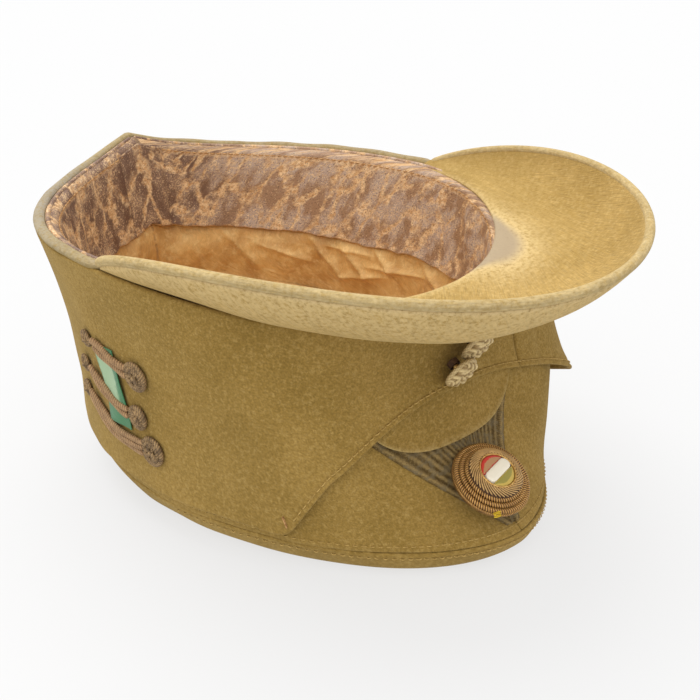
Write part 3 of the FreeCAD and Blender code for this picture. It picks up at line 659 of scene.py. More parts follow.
# The dark core finish also serves as painted shade on the button thread collars.
DARK_CORE_AND_SHADE = plain("cockade_core", rgb(84, 56, 32), rgb(58, 38, 22), 1.2, roughness=0.75)
RED = enamel("red_enamel", rgb(196, 52, 42), rgb(178, 132, 88), 0.36, 2.6)
WHITE = enamel("white_enamel", rgb(238, 230, 210), rgb(214, 192, 158), 0.2, 2.2)
GREEN = enamel("green_enamel", rgb(196, 168, 74), rgb(150, 138, 56), 0.35, 2.5)
RIBBON = ribbon_finish("green_ribbon")


# ---------------------------------------------------------------- crown and top

def cloth_top(degrees):
    return 0.03 + 0.035 * np.maximum(np.cos(np.radians(degrees)), 0)


def make_crown():
    low = 0.998
    for side, name in ((-1, "left"), (1, "right")):
        def place(a, b, skin, side=side):
            degrees = side * (0.12 + (HALF_TURN - 0.12) * a)
            top = cloth_top(degrees)
            down = top + (low - top) * b
            tuck = unit((down - 0.972) / 0.026) ** 2
            return cloth(degrees, down, CLOTH * (skin - 1) - 0.55 * tuck)
        shape = slab(place, edged(250, 1.0, 150), edged(95, 0.7, 44), 0.7)
        shape.make("crown_cloth_" + name, WOOL, "wool_cloth", ["crown_%s_panel" % name])


def top_point(angle, share, skin):
    """Point of the crown top: share runs from the seam over the rolled edge to the flat middle at 2."""
    edge = seam(angle)
    roll = TOP_ROLL["front"] + TOP_ROLL["slope"] * (edge[..., 2] - SEAM["front_height"])
    bend = unit(share)
    fall = np.sin(bend * math.pi / 2)
    depth = (1 - skin) * CLOTH
    reach = roll * bend + depth * (1 - bend)
    height = depth + (edge[..., 2] - depth) * (1 - fall)
    point = edge - outward(angle) * reach[..., None] + (0, FRAME_SHIFT, 0)
    closing = unit(share - 1)[..., None]
    flat = point * (1 - closing) + MIDDLE * closing
    return np.concatenate([flat[..., :2], height[..., None]], -1)


def make_top():
    def place(a, b, skin):
        angle = math.pi * (2 * a - 1)
        point = top_point(angle, b * 2, skin)
        soft = unit(1 - np.abs(b * 2 - 0.45) / 0.45)
        bulge = 0.45 * ripple(point, 24.0, 8) * soft
        pinch = -0.55 * bell(b * 2, 0.07)
        return point + outward(angle) * (bulge + pinch + 0.6 * soft)[..., None]
    across = np.linspace(0, 1, 240, endpoint=False)
    along = np.concatenate([np.array([0, 0.002, 0.006, 0.014, 0.026]), np.linspace(0.04, 0.5, 26),
                            np.linspace(0.56, 1, 8)])
    shape = slab(place, across, along, 1.2, free=(False, False, True, False), closed=True)
    shape.make("crown_top", WOOL, "wool_cloth", ["crown_top_panel"])


# ---------------------------------------------------------------- flap and tongue

def soft_min(value, limit, blend):
    """The smaller of a value and a limit, rounded where they meet."""
    mix = unit(0.5 + 0.5 * (limit - value) / blend)
    return limit * (1 - mix) + value * mix - blend * mix * (1 - mix)


def flap_bottom(degrees):
    """The free edge dips from the front centre to a corner each side and runs on round the back."""
    centre = FLAP["centre_reach"]
    left = centre + (FLAP["corner_reach"] - centre) * soft_min(-degrees / FLAP["corner"], 1.0, 0.05) ** 2
    share = unit(degrees / FLAP["right_corner"])
    behind = unit((degrees - FLAP["right_corner"]) / (FLAP["side"] - FLAP["right_corner"]))
    right = (centre + (FLAP["right_reach"] - centre) * share ** 1.8
             + (FLAP["side_reach"] - FLAP["right_reach"]) * behind * (2 - behind))
    return np.where(degrees <= 0, left, right)


def front_bulge(degrees):
    off_centre = (degrees - TONGUE["centre"]) / (TONGUE["half"] * 1.45)
    return (TONGUE["inner"] + TONGUE["thickness"]) * np.maximum(0.0, 1 - off_centre ** 8)


def corner_lift(degrees, down):
    near = bell(degrees - FLAP["right_corner"], FLAP["lift_spread"])
    reach = FLAP["right_reach"] - FLAP["centre_reach"]
    share = unit((down - FLAP["centre_reach"]) / reach)
    return FLAP["lift"] * near * share ** 2


def flap_inside(degrees, down, side):
    """Offset of the flap's inside face, which stands off a little along the free edge in front."""
    edge = (flap_bottom(degrees) - down) * WALL_RUN
    curl = 1.1 * bell(edge, 5.0) * unit((64 - np.abs(degrees)) / 8)
    inside = FLAP["gap"] + front_bulge(degrees) + curl
    return inside + corner_lift(degrees, down) if side > 0 else inside


def flap_face(degrees, down, side, above=0.0):
    return cloth(degrees, down, flap_inside(degrees, down, side) + FLAP["thickness"] + above)


def make_flap():
    for side, name in ((-1, "left"), (1, "right")):
        stop = FLAP["split"] if side < 0 else -(FLAP["split"] + 0.35)

        def place(a, b, skin, side=side, stop=stop):
            degrees = side * (-stop + (HALF_TURN + stop) * a)
            top = 0.012 + 0.05 * np.maximum(np.cos(np.radians(degrees)), 0) ** 1.5
            down = top + (flap_bottom(degrees) - top) * b
            groove = 0.45 * np.exp(-((b - 1) * (flap_bottom(degrees) - top) * 100 / 1.1 + 2.4) ** 2)
            thickness = FLAP["thickness"] - groove * (np.abs(degrees) < 60)
            return cloth(degrees, down, flap_inside(degrees, down, side) + thickness * skin)
        shape = slab(place, edged(300, 1.3, 190), edged(80, 1.3, 52), 1.3)
        piece = shape.make("flap_cloth_" + name, WOOL, "wool_cloth", ["flap_" + name])


def make_tongue():
    limit = TONGUE["half"] * 0.985

    def place(a, b, skin):
        degrees = TONGUE["centre"] + limit * np.sin((a - 0.5) * math.pi)
        off_centre = np.abs(degrees - TONGUE["centre"]) / TONGUE["half"]
        reach = 0.25 + (TONGUE["reach"] - 0.25) * np.maximum(0.0, 1 - off_centre ** 3) ** (1 / 3)
        down = 0.12 + (reach - 0.12) * b
        curl = 1.1 * unit(1 - (1 - b) / 0.14) ** 2
        return cloth(degrees, down, TONGUE["inner"] + curl + (TONGUE["thickness"] + 0.5) * skin)
    # A narrow band along the tongue's free edge is painted lighter.
    shape = slab(place, edged(90, 0.9, 60), edged(45, 0.9, 40), 0.9,
                 wear=lambda a, b: 0.6 * bell(1 - b, 0.035))
    shape.make("tongue_cloth", WOOL, "wool_cloth", ["flap_tongue"])


def make_cloth_stitches():
    """Yellow rows along the flap's front edges and both sides of the crown seam."""
    for side, name in ((-1, "left"), (1, "right")):
        start, stop = 3.0, (FLAP["corner"] - 3.5 if side < 0 else FLAP["right_corner"] - 2.5)
        degrees = side * np.linspace(start, stop, 30)
        down = flap_bottom(degrees) - 0.026
        spots = flap_face(degrees, down, side, -0.3)
        shape = stitch_row(Shape(), spots, outer_normal(degrees, down), 2.1, 0.24)
        shape.make("flap_stitches_" + name, THREAD, "thread", ["flap_edge_stitching_" + name])
    degrees = np.linspace(-82, 82, 96)
    down = np.full_like(degrees, 0.968)
    upper = stitch_row(Shape(), cloth(degrees, down, -0.1), outer_normal(degrees, down), 1.9, 0.2)
    upper.make("crown_seam_stitches_upper", THREAD, "thread", ["crown_seam_stitching"])
    angle = np.radians(degrees)
    spots = top_point(angle, np.full_like(angle, 0.13), np.ones_like(angle)) + outward(angle) * 0.3
    normals = outward(angle) * 0.96 + (0, 0, -0.28)
    lower = stitch_row(Shape(), spots, normals, 1.9, 0.2)
    lower.make("crown_seam_stitches_lower", THREAD, "thread")
    tack = Shape()
    corner = flap_face(-54.0, flap_bottom(-54.0) - 0.045, -1)
    way = cloth(-54.0, 0.90, 0) - cloth(-54.0, 0.80, 0)
    way /= np.linalg.norm(way)
    for shift in (-0.5, 0.1, 0.6):
        path = corner + np.outer(np.linspace(-2.6, 2.2, 5), way) + (shift, shift * 0.4, 0)
        tube(tack, path, outer_normal(-54.0, 0.85), 0.26, 0.26, sides=6, taper=0.5)
    tack.make("flap_corner_tack", TAN_THREAD, "thread")


# ---------------------------------------------------------------- peak and rim

def peak_point(degrees, share, lift):
    """Point of the peak: share runs from the rim to the free edge, lift is towards the opening."""
    degrees, share, lift = np.broadcast_arrays(*(np.asarray(v, float) for v in (degrees, share, lift)))
    angle = np.radians(degrees)
    turn = np.minimum(np.abs(degrees) / PEAK["angle"], 1.0)
    fade = np.cos(math.pi / 2 * turn)
    length = PEAK["length"] * np.maximum(fade, 1e-6) ** PEAK["power"]
    rise = np.radians(PEAK["front_rise"]
                      + (PEAK["side_rise"] - PEAK["front_rise"]) * turn ** PEAK["rise_power"])
    level = outward(angle) * (1 - PEAK["forward"]) + np.array([0, -PEAK["forward"], 0])
    level /= np.linalg.norm(level, axis=-1, keepdims=True)
    upward = np.array([0.0, 0.0, 1.0])
    along = level * np.cos(rise)[..., None] + upward * np.sin(rise)[..., None]
    upright = level * -np.sin(rise)[..., None] + upward * np.cos(rise)[..., None]
    sag = PEAK["camber"] * 4 * share * (1 - share) * fade
    return (wall(degrees, 0.0) + along * (length * share)[..., None]
            + upright * (lift - sag)[..., None])


def peak_length_at(degrees):
    return np.linalg.norm(peak_point(degrees, 1, 0) - peak_point(degrees, 0, 0), axis=-1)


def make_peak():
    board, thick, roll = PEAK["board"], PEAK["cloth"], PEAK["roll"]
    layers = (("peak_face_cloth", -thick - 0.2, -0.2, -1.2, "peak_top_cloth"),
              ("peak_underside", board + 0.2, board + 0.2 + thick, -4.6, "peak_underside_cloth"))
    for name, low, high, start_at, node in layers:
        def place(a, b, skin, low=low, high=high, start_at=start_at):
            degrees = 86.25 * np.sin((a - 0.5) * math.pi)
            length = peak_length_at(degrees)
            start = np.minimum(start_at / length, 0.4)
            stop = np.maximum(1 - roll * 0.55 / length, 0.6)
            share = start + (stop - start) * b
            lift = low + (high - low) * skin
            spot = peak_point(degrees, np.clip(share, -1, 1), lift)
            soft = 0.3 * ripple(spot, 40.0, 12) * unit(b * (1 - b) * 8)
            if start_at < -2:
                soft = soft - 1.8 * unit((0.4 - share * length) / 5.0) ** 2
            return spot + np.array([0, 0, 1]) * soft[..., None]

        def wear(a, b, start_at=start_at):
            degrees = 86.25 * np.sin((a - 0.5) * math.pi)
            if start_at < -2:
                broad = 1.9 * bell(degrees - 28, 16) * bell(b, 0.24)
            else:
                broad = 0.7 * bell(1 - b, 0.45)
            return 0.5 * bell(b, 0.05) + broad + 0.3 * bell(1 - b, 0.02)
        shape = slab(place, edged(200, 0.8, 190), edged(60, 0.8, 60), 0.8, wear=wear)
        shape.make(name, TOP_WOOL, "wool_cloth", [node])
    degrees = 86.3 * np.sin(np.linspace(-math.pi / 2, math.pi / 2, 260))
    path = peak_point(degrees, 1 - 0.35 / peak_length_at(degrees), board / 2)
    shape = tube(Shape(), path, (0, 0, 1), roll, 1.2, sides=20, taper=2.0)
    shape.wear[0][:] = 0.35
    shape.flow[0][:] *= (1, 2.2, 1)
    shape.make("peak_edge", EDGE_WOOL, "rim_cloth", ["peak_edge_roll"])


def make_rim():
    """Rounded fold of the cloth round the opening, rubbed grey at the wearer's left rear."""
    degrees = np.linspace(85.5, 274.5, 260)
    signed = np.where(degrees <= 180, degrees, degrees - 360)
    path = wall(signed, 0.0, 0.3)
    path = path + (0, 0, 1) * (0.25 * ripple(path, 30.0, 15)[:, None])
    radius, sides = 2.0, 20
    shape = Shape()
    turn = np.linspace(0, 2 * math.pi, sides, endpoint=False)
    level = outward(np.radians(signed))
    taper = np.clip(np.minimum(degrees - 85.3, 274.7 - degrees) / 3, 0.12, 1) ** 0.5
    squeeze = 1 + 0.06 * ripple(path, 14.0, 16)
    wide = (2.3 * taper * squeeze)[:, None] * np.cos(turn)
    tall = (radius * 0.85 * taper)[:, None] * np.sin(turn)
    points = path[:, None] + level[:, None] * wide[..., None] + np.array([0, 0, 1]) * tall[..., None]
    worn = bell(degrees[:, None] - 225, 42) * unit(np.sin(turn) + 0.75)
    worn = np.maximum(worn, 0.45 * unit(np.sin(turn)))
    run = runs(path, 0)[:, None] + 0 * wide
    shape.add(points, quads(len(path), sides, wrap_columns=True),
              np.stack([run, radius * turn + 0 * wide, 0 * wide], -1), worn)
    for index, way in ((0, 1), (len(path) - 1, -1)):
        shape.add(np.concatenate([points[index], path[index][None]]), fan(sides, way))
    shape.make("rim_fold_cloth", RIM_WOOL, "rim_cloth", ["rim_fold"])


# ---------------------------------------------------------------- sweatband and lining

def band_point(degrees, share, skin):
    """Sweatband: rolls over its reed at the top, hangs with soft folds and a wavy lower edge."""
    spot = wall(degrees, share * 0.42, 0)
    reach = 0.425 - 0.012 * np.cos(np.radians(degrees - 105)) ** 2
    reach = reach + 0.008 * ripple(wall(degrees, 0.4), 50.0, 21) + 0.005 * ripple(wall(degrees, 0.4), 9.0, 22)
    down = share * reach
    run = np.minimum(np.abs(np.abs(degrees) - 160) / 38, 1)
    folds = (0.9 * (1 - run) + 0.12) * np.sin(degrees * 0.55 + 2.2 * ripple(spot, 45.0, 23))
    folds = folds * unit(share * 3) * unit((180 - np.abs(degrees)) / 4)
    curl = 1.3 * share ** 5 + 0.5 * ripple(spot, 24.0, 24) * share
    fold = 2.6 * bell(degrees - 62, 2.2) * unit(share * 3)
    fold = fold + 1.6 * bell(degrees - 40, 6.0) * np.sin(math.pi * unit(share))
    over = 2.0 * bell(down, 0.014)
    return wall(degrees, down, -6.0 + over - np.abs(folds) * 0.9 - curl - fold - 0.25 + 1.15 * skin)


def make_sweatband():
    def place(a, b, skin):
        return band_point(180.0 * (2 * a - 1), b, skin)
    shape = slab(place, np.linspace(0, 1, 320), edged(42, 0.7, 40), 0.7, free=(False, False, True, True),
                 wear=lambda a, b: 0.75 * bell(b - 0.10, 0.03) + 0.7 * bell(1 - b, 0.02))
    band = shape.make("sweatband_band", LEATHER, "sweatband_leather", ["sweatband"])

    def strip(a, b, skin):
        degrees = 172.5 + 14.6 * a
        spot = band_point(np.where(degrees > 180, degrees - 360, degrees), 0.06 + 0.92 * b, np.zeros_like(a))
        crown = 0.75 * np.sin(unit(a) * math.pi) ** 0.5
        way = outward(np.radians(degrees))
        return spot - way * (0.1 + crown * skin)[..., None]
    shape = slab(strip, edged(18, 0.5, 24), edged(38, 0.5, 24), 0.5)
    shape.make("sweatband_join", LEATHER, "sweatband_leather", ["sweatband_join_strip"])
    degrees = np.linspace(-179.9, 179.9, 420)
    path = wall(degrees, 0.004, -3.0)
    reed = tube(Shape(), path, (0, 0, 1), 1.15, 1.2, taper=0.3)
    reed.make("sweatband_piping", LEATHER, "sweatband_leather", ["sweatband_reed"])
    degrees = np.linspace(-176, 176, 176)
    spots = band_point(degrees, np.full_like(degrees, 0.085), np.zeros_like(degrees))
    rows = stitch_row(Shape(), spots, -outward(np.radians(degrees)), 2.2, 0.26)
    rows.make("sweatband_stitches", TAN_THREAD, "thread", ["sweatband_stitching"])


def crease(degrees, down, start, stop, height, width):
    """A pressed fold along the line between two (angle, down) points; width in millimetres."""
    scale = np.array([1.5, WALL_RUN])
    first, last = (np.array(p) * scale for p in (start, stop))
    here = np.stack([degrees * scale[0], down * scale[1]], -1) - first
    line = last - first
    share = unit(here @ line / (line @ line))
    gap = np.linalg.norm(here - share[..., None] * line, axis=-1)
    return height * np.exp(-(gap / width) ** 1.1) * np.sin(math.pi * np.clip(share, 0.04, 0.96)) ** 0.5


# Each crease runs between two (angle, down) points and has a height and a width.
LINING_CREASES = (
    ((154, 0.43), (140, 0.66), 2.4, 1.7), ((142, 0.50), (124, 0.56), 2.0, 1.5),
    ((124, 0.42), (113, 0.62), 3.2, 1.6), ((113, 0.44), (104, 0.60), 3.0, 1.5),
    ((120, 0.46), (103, 0.47), 2.2, 1.4), ((116, 0.62), (98, 0.56), 2.2, 1.5),
    ((102, 0.43), (94, 0.55), 3.0, 1.4), ((104, 0.53), (84, 0.50), 2.2, 1.3),
    ((98, 0.66), (76, 0.60), 1.8, 1.7), ((86, 0.44), (72, 0.60), 2.6, 1.8),
    ((78, 0.52), (60, 0.50), 2.0, 1.4), ((168, 0.46), (160, 0.68), 1.6, 2.0),
    ((-172, 0.46), (-164, 0.68), 1.6, 2.2), ((60, 0.50), (44, 0.64), 1.6, 2.0),
    ((30, 0.46), (12, 0.60), 1.6, 2.0), ((-20, 0.48), (-44, 0.64), 1.6, 2.2),
    ((-70, 0.50), (-92, 0.66), 1.8, 2.0), ((-118, 0.50), (-138, 0.66), 1.8, 2.0))


def lining_offset(degrees, down):
    """How far the loose lining stands in from the crown."""
    spot = wall(degrees, down)
    slack = unit((down - 0.34) / 0.4)
    bulge = 2.2 * np.sin(math.pi * unit((down - 0.36) / (LINING["reach"] - 0.36))) ** 2
    soft = 1.0 * ripple(spot, 34.0, 31) + 0.5 * ripple(spot, 13.0, 32)
    total = 4.0 + bulge + soft * np.minimum(slack * 3, 1)
    for start, stop, height, width in LINING_CREASES:
        total = total + crease(degrees, down, start, stop, height, width)
    gather = 0.5 * np.abs(np.sin(degrees * 1.3 + 2 * ripple(spot, 40.0, 33)))
    total = total + gather * unit((down - LINING["reach"] + 0.07) / 0.07)
    return np.maximum(total, 3.4)


def make_lining():
    low = LINING["reach"] + 0.02

    def place(a, b, skin):
        degrees = 180.0 * (2 * a - 1)
        down = 0.34 + (low - 0.34) * b
        return wall(degrees, down, -lining_offset(degrees, down) - 0.4 + 0.8 * skin)
    shape = slab(place, np.linspace(0, 1, 460), edged(38, 0.5, 70), 0.5, free=(False, False, True, True))
    piece = shape.make("lining_wall_satin", SATIN, "satin_lining", ["lining_wall"])

    def top(a, b, skin):
        angle = math.pi * (2 * a - 1)
        degrees = np.degrees(angle)
        edge = wall(degrees, np.full_like(degrees, LINING["reach"] + 0.005), -4.6)
        flat = edge * (1 - b)[..., None] + MIDDLE * b[..., None]
        run = np.linalg.norm(edge - MIDDLE, axis=-1) * b
        level = LINING["level"]
        dip = unit(run / LINING["sink"])
        height = level + (edge[..., 2] - level) * (1 - np.sin(dip * math.pi / 2))
        roll = 1.4 * bell(run - 2.6, 1.8)
        spot = np.concatenate([flat[..., :2], height[..., None]], -1)
        puff = 1.5 * np.abs(ripple(spot, 30.0, 41)) + 0.9 * np.abs(ripple(spot, 11.0, 42))
        way = outward(angle) * -0.5 + (0, 0, 0.8)
        return spot + way * (puff * unit(run / 8) + roll + 0.7 * skin)[..., None]
    shape = slab(top, np.linspace(0, 1, 320, endpoint=False), edged(90, 0.5, 64, last=False), 0.5,
                 free=(False, False, True, False), closed=True)
    piece = shape.make("lining_top_satin", SATIN, "satin_lining", ["lining_top"])


# ---------------------------------------------------------------- rank lace and cockade

def make_lace():
    """Two arms of a chevron that meet on the centre line and end blunt at the crown seam."""
    blunt, centre = 0.957, -2.2
    for side, name, foot, end in ((-1, "left", -5.0, (-43.5, 0.505)), (1, "right", 2.4, (31.0, 0.415))):
        run = np.array([end[0] - foot, (end[1] - blunt) * WALL_RUN])
        run /= np.linalg.norm(run)
        middle = centre + side * 0.12
        width = LACE["width"]
        inner = (end[0] + side * run[1] * width, end[1] - side * run[0] * width / WALL_RUN)
        rise = inner[1] - (middle - inner[0]) / run[0] * -run[1] / WALL_RUN
        plan = ((foot, blunt), (middle, blunt), (middle, rise), end, inner)
        foot_at, middle_at, rise_at, end_at, inner_at = (np.array((angle_at(x, down), down))
                                                         for x, down in plan)
        turn = abs(foot - middle) * abs(run[1]) / width

        def place(a, b, skin, seed=50 + side):
            low = np.where((b < turn)[..., None], foot_at + (middle_at - foot_at) * (b / turn)[..., None],
                           middle_at + (rise_at - middle_at) * ((b - turn) / (1 - turn))[..., None])
            spot = low + (end_at + (inner_at - end_at) * b[..., None] - low) * a[..., None]
            ridge = 0.5 - 0.5 * np.cos(2 * math.pi * b * width / LACE["rib"])
            frayed = 0.16 * ripple(wall(spot[..., 0], spot[..., 1]), 2.4, seed)
            lift = LACE["inner"] + skin * (LACE["thickness"] * 0.5 + 0.4 * ridge + frayed)
            return cloth(spot[..., 0], spot[..., 1], lift)
        shape = slab(place, edged(60, 0.5, 140), edged(width, 0.4, 90), 0.4)
        piece = shape.make("rank_lace_band_" + name, LACE_FINISH, "rank_lace", ["rank_lace_" + name])


def cockade_base():
    lean = Matrix.Rotation(math.radians(-COCKADE["tilt"]), 4, "X")
    turn = Matrix.Rotation(math.radians(COCKADE["turn"]), 4, "Z")
    return on_wall(COCKADE["angle"], COCKADE["down"], COCKADE["stand"]) @ lean @ turn


def ring_path(matrix, radius, height, count=400):
    turn = np.linspace(0, 2 * math.pi, count, endpoint=False)
    return move(np.stack([radius * np.cos(turn), radius * np.sin(turn), np.full(count, height)], -1), matrix)


def make_cockade():
    base = cockade_base()
    up = np.array(base)[:3, 2]
    cord = 0.95
    for index, (radius, height) in enumerate(zip((13.7, 11.98, 10.3), (2.2, 3.2, 4.3))):
        shape = tube(Shape(), ring_path(base, radius, height), up, cord * 0.97, 0.16, sides=12, closed=True,
                     strands=2, pitch=1.8, depth=0.22)
        shape.make("cockade_twisted_ring_%d" % (index + 1), GILT, "gilt_cord",
                   ["cockade_cord_ring_%d" % (index + 1)])
    edge = tube(Shape(), ring_path(base, 14.75, 1.35), up, 0.4, 0.2, sides=8, closed=True, strands=2,
                pitch=1.4, depth=0.2)
    edge.make("cockade_edge_wire", GILT, "gilt_cord")
    collar = COCKADE["backing"] + COCKADE["core"] + 0.2
    pleats = Shape()
    share = np.linspace(0, 1, 9)
    count, sides = 40, 8
    crest = np.sin(np.linspace(0, 2 * math.pi, sides, endpoint=False))
    for index in range(count):
        turn = 2 * math.pi * index / count + 0.62 * share
        radius = 7.15 + 3.1 * share
        height = collar + 1.95 - 0.25 * share - 1.2 * share ** 2
        path = move(np.stack([radius * np.cos(turn), radius * np.sin(turn), height], -1), base)
        tube(pleats, path, up, 0.4, 0.5, sides=sides, taper=0.4)
        # Each pleat is painted lighter on its outer side and darker on its inner side: painted highlight and
        # painted shade.
        tone = pleats.flow[-3][:, 2]
        tone[:] = 0.80 + 0.34 * unit(np.tile(crest, len(tone) // sides))
    cone = [(10.3, 3.4), (10.3, collar + 0.4), (9.6, collar + 0.95), (8.4, collar + 1.4), (7.3, collar + 1.6),
            (6.9, collar + 1.5), (6.9, collar - 0.6), (10.3, 3.4)]
    pleats.make("cockade_pleats", PLEAT, "gilt_cord", ["cockade_pleated_collar"])
    lathe(Shape(), cone, base, 80).make("cockade_cone", DARK_CORE_AND_SHADE, "gilt_cord")
    wire = tube(Shape(), ring_path(base, 6.9, collar + 1.9), up, 0.42, 0.3, closed=True)
    wire.make("cockade_bezel_wire", BEZEL, "bezel_metal", ["cockade_bezel"])
    make_centre(raised(base, collar))


def rounded_plate(shape, boundary, low, high, matrix, bevel=0.35, crown=0.0, wear=None):
    """Plate over a closed boundary with a bevelled top edge and a slightly crowned face."""
    boundary = np.asarray(boundary, float)
    centre = boundary.mean(0)
    rows = []
    for share, height in ((1.0, low), (1.0, high - bevel), (1 - bevel * 0.04, high - bevel * 0.3),
                          (1 - bevel * 0.14, high), (0.75, high + crown * 0.5), (0.4, high + crown * 0.9),
                          (0.0, high + crown)):
        rows.append(np.column_stack([centre + (boundary - centre) * share, np.full(len(boundary), height)]))
    points = np.stack(rows)
    count = len(boundary)
    shape.add(move(points.reshape(-1, 3), matrix), quads(len(rows), count, wrap_columns=True),
              wear=None if wear is None else wear(points[..., 0], points[..., 1]))
    shape.add(move(np.concatenate([points[0], [[centre[0], centre[1], low]]]), matrix), fan(count)[:, ::-1])
    return shape


def make_centre(matrix):
    """Round centre in three parts: a raised white bar between two coloured fields."""
    radius, half = 6.4, 2.25
    turn = np.linspace(0, math.pi, 40)
    limit = math.asin((half + 0.1) / radius)
    arc = np.linspace(limit, math.pi - limit, 36)
    for name, sign, material, slot in (("red", 1, RED, "red_enamel"), ("green", -1, GREEN, "green_enamel")):
        edge = np.column_stack([radius * np.cos(arc), sign * radius * np.sin(arc)])
        shape = rounded_plate(Shape(), edge[::sign], 0.3, 2.0, matrix, 0.2, 0.15,
                              lambda x, y: unit((5.6 - np.hypot(x * 0.8, y)) / 1.2))
        shape.make("cockade_%s_face" % name, material, slot, ["cockade_%s_field" % name])
    ends = []
    for sign in (1, -1):
        around = np.linspace(-math.pi / 2, math.pi / 2, 16)
        ends.append(np.column_stack([sign * (4.4 + 1.8 * np.cos(around)), sign * half * np.sin(around)]))
    shape = rounded_plate(Shape(), np.concatenate(ends), 0.0, 2.75, matrix, 0.35, 0.2)
    shape.make("cockade_white_face", WHITE, "white_enamel", ["cockade_white_bar"])
    knot = Shape()
    start = np.array([-13.2, -9.0, -1.6])
    for shift in range(4):
        wave = np.linspace(0, 1, 8)
        path = np.stack([start[0] + 3.2 * wave - 0.3 * shift, start[1] - 1.4 * wave - 0.35 * shift,
                         start[2] - 0.5 + 0.5 * np.sin(3 * wave + shift)], -1)
        tube(knot, move(path, matrix), np.array(matrix)[:3, 2], 0.28, 0.28, sides=6, taper=0.4)
    knot.make("cockade_yellow_thread", YELLOW, "thread")


# ---------------------------------------------------------------- buttons

def make_buttons():
    """Buttons of plaited cord: strands that spiral both ways over a low dome, inside a twisted ring."""
    surface = FLAP["gap"] + TONGUE["inner"] + TONGUE["thickness"] + FLAP["thickness"]
    radius, high = BUTTON["radius"], BUTTON["dome"]
    for side, degrees, down, droop in BUTTONS:
        base = on_wall(degrees, down, surface + BUTTON["gap"])
        base = raised(base @ Matrix.Rotation(math.radians(droop), 4, "X"), BUTTON["stand"])
        up = np.array(base)[:3, 2]
        lean = np.linspace(0.02, math.pi / 2, 16)
        under = [(0.0, -0.02), (radius * 0.5, -0.02), (radius * 0.84, 0.1)]
        under += [((radius - 0.9) * math.sin(t), 0.3 + (high - 1.5) * math.cos(t)) for t in lean[::-1]]
        shape = lathe(Shape(), under, base, 64)
        # The dome under the strands takes the dark colour as painted shade between the plaited strands.
        shape.flow[0][:, 2] = 0.86
        share = np.linspace(0, 1, 26)
        count = 4
        for way in (1, -1):
            for index in range(count):
                turn = way * (2 * math.pi * index / count + 1.9 * share) + 0.2
                reach = (radius - 1.7) * (1 - share) ** 0.85 + 0.5
                weave = 0.4 * np.cos(count * (turn - 0.2) + (0 if way > 0 else math.pi))
                height = 0.7 + (high - 2.0) * np.sqrt(unit(1 - (reach / (radius + 0.4)) ** 2)) + weave
                path = np.stack([reach * np.cos(turn), reach * np.sin(turn), height], -1)
                tube(shape, move(path, base), up, 1.25, 0.3, sides=12, strands=2, pitch=5.0, depth=0.13,
                     taper=0.9)
        tube(shape, ring_path(base, radius - 0.95, 0.8, 160), up, 0.85, 0.3, closed=True, strands=4,
             pitch=6.0, depth=0.08)
        shape.make("button_%s_plait" % side, PLAIT, "button_cord", ["button_%s_dome" % side],
                   body="button_" + side)


# ---------------------------------------------------------------- side ornament

def rosette(shape, matrix, radius, cord):
    """Coiled cord knot: two outer rings, a raised loop and a centre bead."""
    up = np.array(matrix)[:3, 2]
    reach, level = radius - cord, 0.75 * cord
    for shrink, rise in ((0.0, 0.0), (1.6 * cord, 0.45 * cord)):
        path = ring_path(matrix, reach - shrink, level + rise, 120)
        tube(shape, path, up, cord, 0.24, closed=True, strands=3, pitch=3.2, depth=0.1)
    turn = np.linspace(0, 2 * math.pi, 160, endpoint=False)
    bend = reach * (0.36 + 0.22 * np.cos(3 * turn + 0.5))
    loop = np.stack([bend * np.cos(turn), bend * np.sin(turn),
                     level + 1.0 * cord + 0.35 * cord * np.sin(3 * turn + 0.6)], -1)
    tube(shape, move(loop, matrix), up, cord * 0.8, 0.24, closed=True, strands=3, pitch=3.0, depth=0.1)
    level += 1.1 * cord
    lean = np.linspace(0, math.pi, 9)
    bead = [(cord * 1.05 * math.sin(t), level + cord * 0.9 * math.cos(t)) for t in lean[::-1]]
    lathe(shape, bead, matrix, 16)
    return shape


